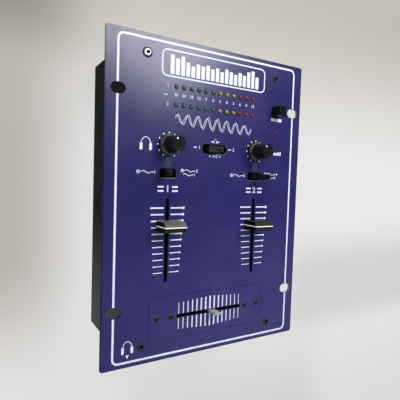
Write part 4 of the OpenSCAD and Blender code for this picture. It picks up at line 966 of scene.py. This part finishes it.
# %% [markdown]
# ### The signs
# At the rear of the face sits a rounded frame, filled with the bars of a
# generic level display, and below the meter runs a double wave, the sign of a
# sound signal. Headphone signs mark the monitor level and its socket, record
# and wave signs the two kinds of source, and a standby sign the power button.

# %% Draw one sign of each kind
bars_low, bar_pitch, bar_half = 134.0, 6.2, 2.3
wave_start, wave_end, wave_length = -51, 50, 12.6
wave_y, wave_fall = 86.5, 0.045


def level_bars():
    """Upright bars from one line, a pitch apart."""
    heights = np.array([20, 17, 20, 15, 12, 15, 14, 16, 13, 15, 12, 16, 14, 12, 15, 13, 18, 20, 14])
    x = (np.arange(len(heights)) - (len(heights) - 1) / 2) * bar_pitch
    bars = zip(x - bar_half, x + bar_half, bars_low + heights)
    return [patch(rect(left, bars_low, right, top, 0.8)) for left, right, top in bars]


def signal_wave():
    """Strokes y = wave_y - fall x + reach swell(x) sin(2 pi x / length + shift)."""
    x = np.linspace(wave_start, wave_end, 320)
    done = x - wave_start
    swell = 0.55 + 0.45 * np.sin(np.pi * done / (wave_end - wave_start)) ** 0.6
    marks = []
    for shift, reach in ((0.0, 7.0), (0.9, 5.6)):
        swing = reach * swell * np.sin(2 * np.pi * done / wave_length + shift)
        marks.append(stroke(np.stack([x, wave_y - wave_fall * x + swing], -1), 0.5))
    return marks


def headphones(x, y, size):
    """A band over two cups, size millimetres wide."""
    s = size / 14
    ears = [x - 5.2 * s, x + 5.2 * s]
    cups = [rect(e - 1.5 * s, y - 7.0 * s, e + 1.5 * s, y + 0.6 * s, 1.2 * s) for e in ears]
    return [stroke(arc(x, y - s, 5.2 * s, 0, 180, ry=7.2 * s), 0.75 * s)] + [patch(c) for c in cups]


def record_sign(x, y):
    """A ring round a dot."""
    groove = stroke(arc(x, y, 1.6, 0, 360, 33)[:-1], 0.65, closed=True)
    return [groove, patch(arc(x, y, 0.6, 0, 360, 13)[:-1])]


def wave_sign(x, y, w):
    """One wave, w wide: y + 1.1 sin(2 pi t) for t from 0 to 1."""
    t = np.linspace(0, 1, 25)
    return [stroke(np.stack([x + (t - 0.5) * w, y + 1.1 * np.sin(2 * np.pi * t)], -1), 0.7)]


def dash(x0, y, x1, w):
    """A bar from x0 to x1, w high."""
    return [patch(rect(x0, y - w / 2, x1, y + w / 2))]


def standby(x, y):
    """An open ring with an upright bar in its gap."""
    ring = stroke(arc(x, y, 1.3, 125, 415, 29), 0.8)
    return [ring, patch(rect(x - 0.5, y + 0.3, x + 0.5, y + 2.3))]


print("the level display has", len(level_bars()), "bars")

# %% [markdown]
# ### Where the marks go
# All the signs become one piece of white ink. What stands beside one channel's
# lever is repeated for the other.

# %% Place the marks
phono_y, line_y, mixed_y = source_y + 0.5, source_y + 3.3, source_y - 1.0
marks = [stroke(rect(-67.25, 131.55, 67.25, 158.45, 6.5), 1.5, closed=True)]
marks += level_bars() + signal_wave()
marks += headphones(-83.5, knob_y, 14) + headphones(-98.6, -149.4, 13.5)
marks += [patch([[-100.4, -157.6], [-96.8, -157.6], [-98.6, -161.4]])]
for x in (-channel_x, channel_x):
    marks += record_sign(x - 33.8, phono_y) + wave_sign(x - 25.6, phono_y, 11.0)
    marks += dash(x - 19.4, phono_y, x - 17.0, 0.9)
    marks += record_sign(x + 16.6, line_y) + wave_sign(x + 24.6, line_y, 10.5)
    marks += dash(x + 30.4, line_y, x + 32.8, 0.9)
    marks += wave_sign(x + 22.6, mixed_y, 9.5) + dash(x + 27.9, mixed_y, x + 29.9, 0.9)
    for middle in (x - 8.4, x + 8.4):
        for y in (11.8, 16.2):
            marks += [patch(rect(middle - 3.4, y - 0.95, middle + 3.4, y + 0.95, 0.4))]
marks += dash(-27.8, cue_y + 0.8, -23.8, 1.1) + dash(17.8, cue_y + 0.6, 21.8, 1.1)
marks += headphones(0, 68.4, 4.6)
for y, near, far, width in ((67.6, 2.9, 5.0, 1.4), (51.4, 5.6, 7.7, 1.1)):
    marks += dash(-far, y, -near, width) + dash(near, y, far, width)
for step in range(6):
    x = 86.4 + 2.1 * step
    marks += [patch(rect(x - 0.8, 57.8, x + 0.8, 60.7 + 0.3 * step))]
marks += standby(power_label_x, 100.9)
for start, end in ((-8.4, -2.2), (2.2, 8.4)):
    marks += dash(power_label_x + start, 101.1, power_label_x + end, 3.6)
marks += dash(-64.8, np.mean(led_rows), -60.8, 0.9)
make_piece("printed_marks", joined(marks), "white_ink", [], 30)

# %% [markdown]
# ### Plain numbers
# The level scale and the channels carry plain numbers. Blender's own typeface
# draws them: each number is a text curve with the ink's thickness, which is
# turned into a mesh, and only then are its points put in their place. So fine
# a print takes less ink, and its white is greyer.

# %% Numbers


def digits(text, x, y, size, bold):
    """A text curve's mesh as points and faces, moved to its place."""
    curve = bpy.data.curves.new("number", "FONT")
    curve.body = text
    curve.size = size
    curve.align_x = curve.align_y = "CENTER"
    curve.extrude = ink_t / 2
    curve.offset = bold
    curve.resolution_u = 3
    holder = placed("number", curve)
    bpy.context.view_layer.update()
    finished = holder.evaluated_get(bpy.context.evaluated_depsgraph_get())
    mesh = bpy.data.meshes.new_from_object(finished)
    points = np.empty(len(mesh.vertices) * 3)
    mesh.vertices.foreach_get("co", points)
    faces = [list(face.vertices) for face in mesh.polygons]
    bpy.data.objects.remove(holder)
    bpy.data.curves.remove(curve)
    bpy.data.meshes.remove(mesh)
    return points.reshape(-1, 3) + [x, y, face_z + ink_t / 2], faces


scale_y = np.mean(led_rows) + 0.9
scale = zip("30 24 18 12 9 6 3 0 3 6 9 12".split(), led_x)
texts = [(text, x, scale_y, 4.4, 0.12) for text, x in scale]
texts += [(text, -60.4, y, 4.4, 0.1) for text, y in zip("12", led_rows)]
for x, channel, phono, line in ((-channel_x, "1", "1", "2"), (channel_x, "2", "3", "4")):
    texts += [(channel, x - 0.2, 14.0, 9.4, 0.32), (phono, x - 15.6, phono_y, 4.6, 0.12)]
    texts += [(line, x + 34.8, line_y, 4.4, 0.12), (channel, x + 31.6, mixed_y, 4.4, 0.12)]
texts += [("1", -20.4, cue_y + 0.8, 4.6, 0.14), ("2", 25.2, cue_y + 0.6, 4.6, 0.14)]
texts += [("1+2", 0, 51.4, 4.4, 0.14)]
numbers = joined([digits(*text) for text in texts])
make_piece("printed_numbers", numbers, "thin_ink", [], 30)

# %% [markdown]
# ## Floor
# A plain pale floor keeps the mixer's shadow. To eyes and mirrors four fifths
# of it is a glow, which holds it pale, and the rest is ordinary matt paint,
# which takes the shadow. Patches of painted shade make the glow's grey a little
# warmer and darker towards the rear and the left, and further off it is evenly
# pale. Floor, lamps and camera are placed in metres.

# %% Floor
glow_share = 0.8
floor_reach, floor_z = 6, -0.0005


def floor_drift(f):
    """The floor's glow colour: pale, with soft patches of painted shade laid over it one after
    another.
    """
    across, along = f.axis(0), f.axis(1)
    near = f.ramp(along, -150, -450)
    middle = f.times(near, f.ramp(across, 360, 260), f.ramp(across, -100, -20))
    beside = f.times(f.ramp(along, -40, -140), f.ramp(along, -270, -190), f.ramp(across, 180, 280))
    left = f.times(f.ramp(across, -100, -210), f.ramp(along, -260, -60))
    shade = f.times(f.ramp(across, -20, -200), f.ramp(along, 100, 250))
    # Painted shade: these tints darken the pale glow in soft patches; the last returns it to pale
    # further off.
    tints = [
        (near, (228, 227, 228)),
        (middle, (214, 214, 214)),
        (beside, (216, 215, 216)),
        (f.ramp(along, 30, 360), (184, 180, 168)),
        (left, (184, 179, 169)),
        (shade, (174, 170, 158)),
        (f.times(left, f.ramp(along, 150, 240)), (124, 120, 110)),
    ]
    aside = f.math("ADD", across, -150 * MM)
    squares = f.math("ADD", f.times(aside, aside), f.times(along, along))
    tints += [(f.ramp(f.math("SQRT", squares), 500, 950), (232, 231, 229))]
    drift = f.blend(f.levels(f.noise(300, 2.0), 0.3, 0.7), (244, 242, 242), (241, 239, 239))
    for share, tint in tints:
        drift = f.blend(share, drift, tint)
    return drift


def floor_finish():
    f = Finish("pale_floor", roughness=0.85)
    f.colour(f.blend(f.noise(400, 2.0), (196, 194, 190), (190, 189, 186)))
    f.relief(f.noise(1.5, 2.0), 0.02)
    glow = f.add("Emission")
    f.link(floor_drift(f), glow.inputs["Color"])
    ray = f.add("LightPath").outputs
    mirrored = f.math("MAXIMUM", ray["Is Glossy Ray"], ray["Is Transmission Ray"])
    seen = f.math("MAXIMUM", ray["Is Camera Ray"], mirrored)
    both = f.add("MixShader")
    sources = (f.times(seen, glow_share), f.shader.outputs[0], glow.outputs[0])
    for source, socket in zip(sources, both.inputs):
        f.link(source, socket)
    output = next(node for node in f.tree.nodes if node.type == "OUTPUT_MATERIAL")
    f.link(both.outputs[0], output.inputs["Surface"])
    return f.mat


side = np.linspace(-floor_reach, floor_reach, 13)
gx, gy = np.meshgrid(side, side, indexing="ij")
floor_points = np.stack([gx, gy, np.full_like(gx, floor_z)], -1).reshape(-1, 3)
floor_mesh = bpy.data.meshes.new("floor")
floor_mesh.from_pydata(floor_points.tolist(), [], [f[::-1] for f in grid_faces(13, 13)])
floor = placed("floor", floor_mesh)
floor_mesh.materials.append(floor_finish())
print("floor normal up:", floor_mesh.polygons[0].normal.z > 0)

# %% [markdown]
# ## Light
# One large soft lamp stands beyond the rear right corner. It skims the face, so
# knobs throw soft shadows to the front left, and the satin paint shows a broad
# pale sheen towards the rear left. A weaker lamp from the rear fills the upper
# slopes of the caps.

# %% Lamps
lamp_aim = Vector((0, 0, 0.1))


def soft_lamp(name, place, size, watts, colour):
    """A square lamp that looks at lamp_aim."""
    lamp = bpy.data.lights.new(name, "AREA")
    lamp.shape = "SQUARE"
    lamp.size = size
    lamp.energy = watts
    lamp.color = colour
    holder = placed(name, lamp)
    holder.location = place
    way = lamp_aim - Vector(place)
    holder.rotation_euler = way.to_track_quat("-Z", "Y").to_euler()
    print(name, "at", place, watts, "W")


soft_lamp("key_lamp", (0.42, 0.72, 1.15), 0.6, 14, (1.0, 0.98, 0.95))
soft_lamp("rear_lamp", (-0.15, 1.3, 0.55), 0.7, 8, (1.0, 0.99, 0.96))

# %% [markdown]
# A pale world, brighter towards the front and the left, does the rest. Behind
# the floor's far edge it shows as an even pale backdrop.

# %% World
backdrop_strength = 0.85
world = bpy.data.worlds.new("soft_world")
bpy.context.scene.world = world
world.use_nodes = True
add, link = world.node_tree.nodes.new, world.node_tree.links.new
sky = world.node_tree.nodes["Background"]
settle(sky, Color=(0.93, 0.95, 1.0, 1))
split = add("ShaderNodeSeparateXYZ")
link(add("ShaderNodeTexCoord").outputs["Generated"], split.inputs[0])
total = add("ShaderNodeMath")
for socket, output, end, low, high in ((0, 1, -0.5, 0.15, 0.5), (1, 0, -0.7, 0.0, 0.6)):
    rise = add("ShaderNodeMapRange")
    settle(rise, From_Min=0.0, From_Max=end, To_Min=low, To_Max=high)
    link(split.outputs[output], rise.inputs["Value"])
    link(rise.outputs["Result"], total.inputs[socket])
pick = add("ShaderNodeMix")
settle(pick, B=backdrop_strength)
link(add("ShaderNodeLightPath").outputs["Is Camera Ray"], pick.inputs["Factor"])
link(total.outputs["Value"], pick.inputs["A"])
link(pick.outputs["Result"], sky.inputs["Strength"])
print("world strength behind the floor:", backdrop_strength)

# %% [markdown]
# ## Camera
# The camera stands high beyond the left side and looks down across the face. Its
# frame is given by three directions: where it looks, what is right and what is up.

# %% Camera
focal_px, frame_px, sensor_mm = 385.7, 400, 36
camera_place = (-0.2348, 0.0250, 0.4882)
look = Vector((0.507, -0.053, -0.861)).normalized()
right = look.cross(Vector((0.0, 0.998, -0.062))).normalized()
up = right.cross(look).normalized()
camera = placed("camera", bpy.data.cameras.new("camera"))
camera.data.sensor_width = sensor_mm
camera.data.lens = focal_px / frame_px * sensor_mm
camera.data.clip_start = 0.01
turn = Matrix((right, up, -look)).transposed().to_4x4()
camera.matrix_world = Matrix.Translation(camera_place) @ turn
bpy.context.scene.camera = camera
bpy.context.scene.view_settings.view_transform = "Standard"
print("camera right:", np.round(right, 3), "up:", np.round(up, 3))
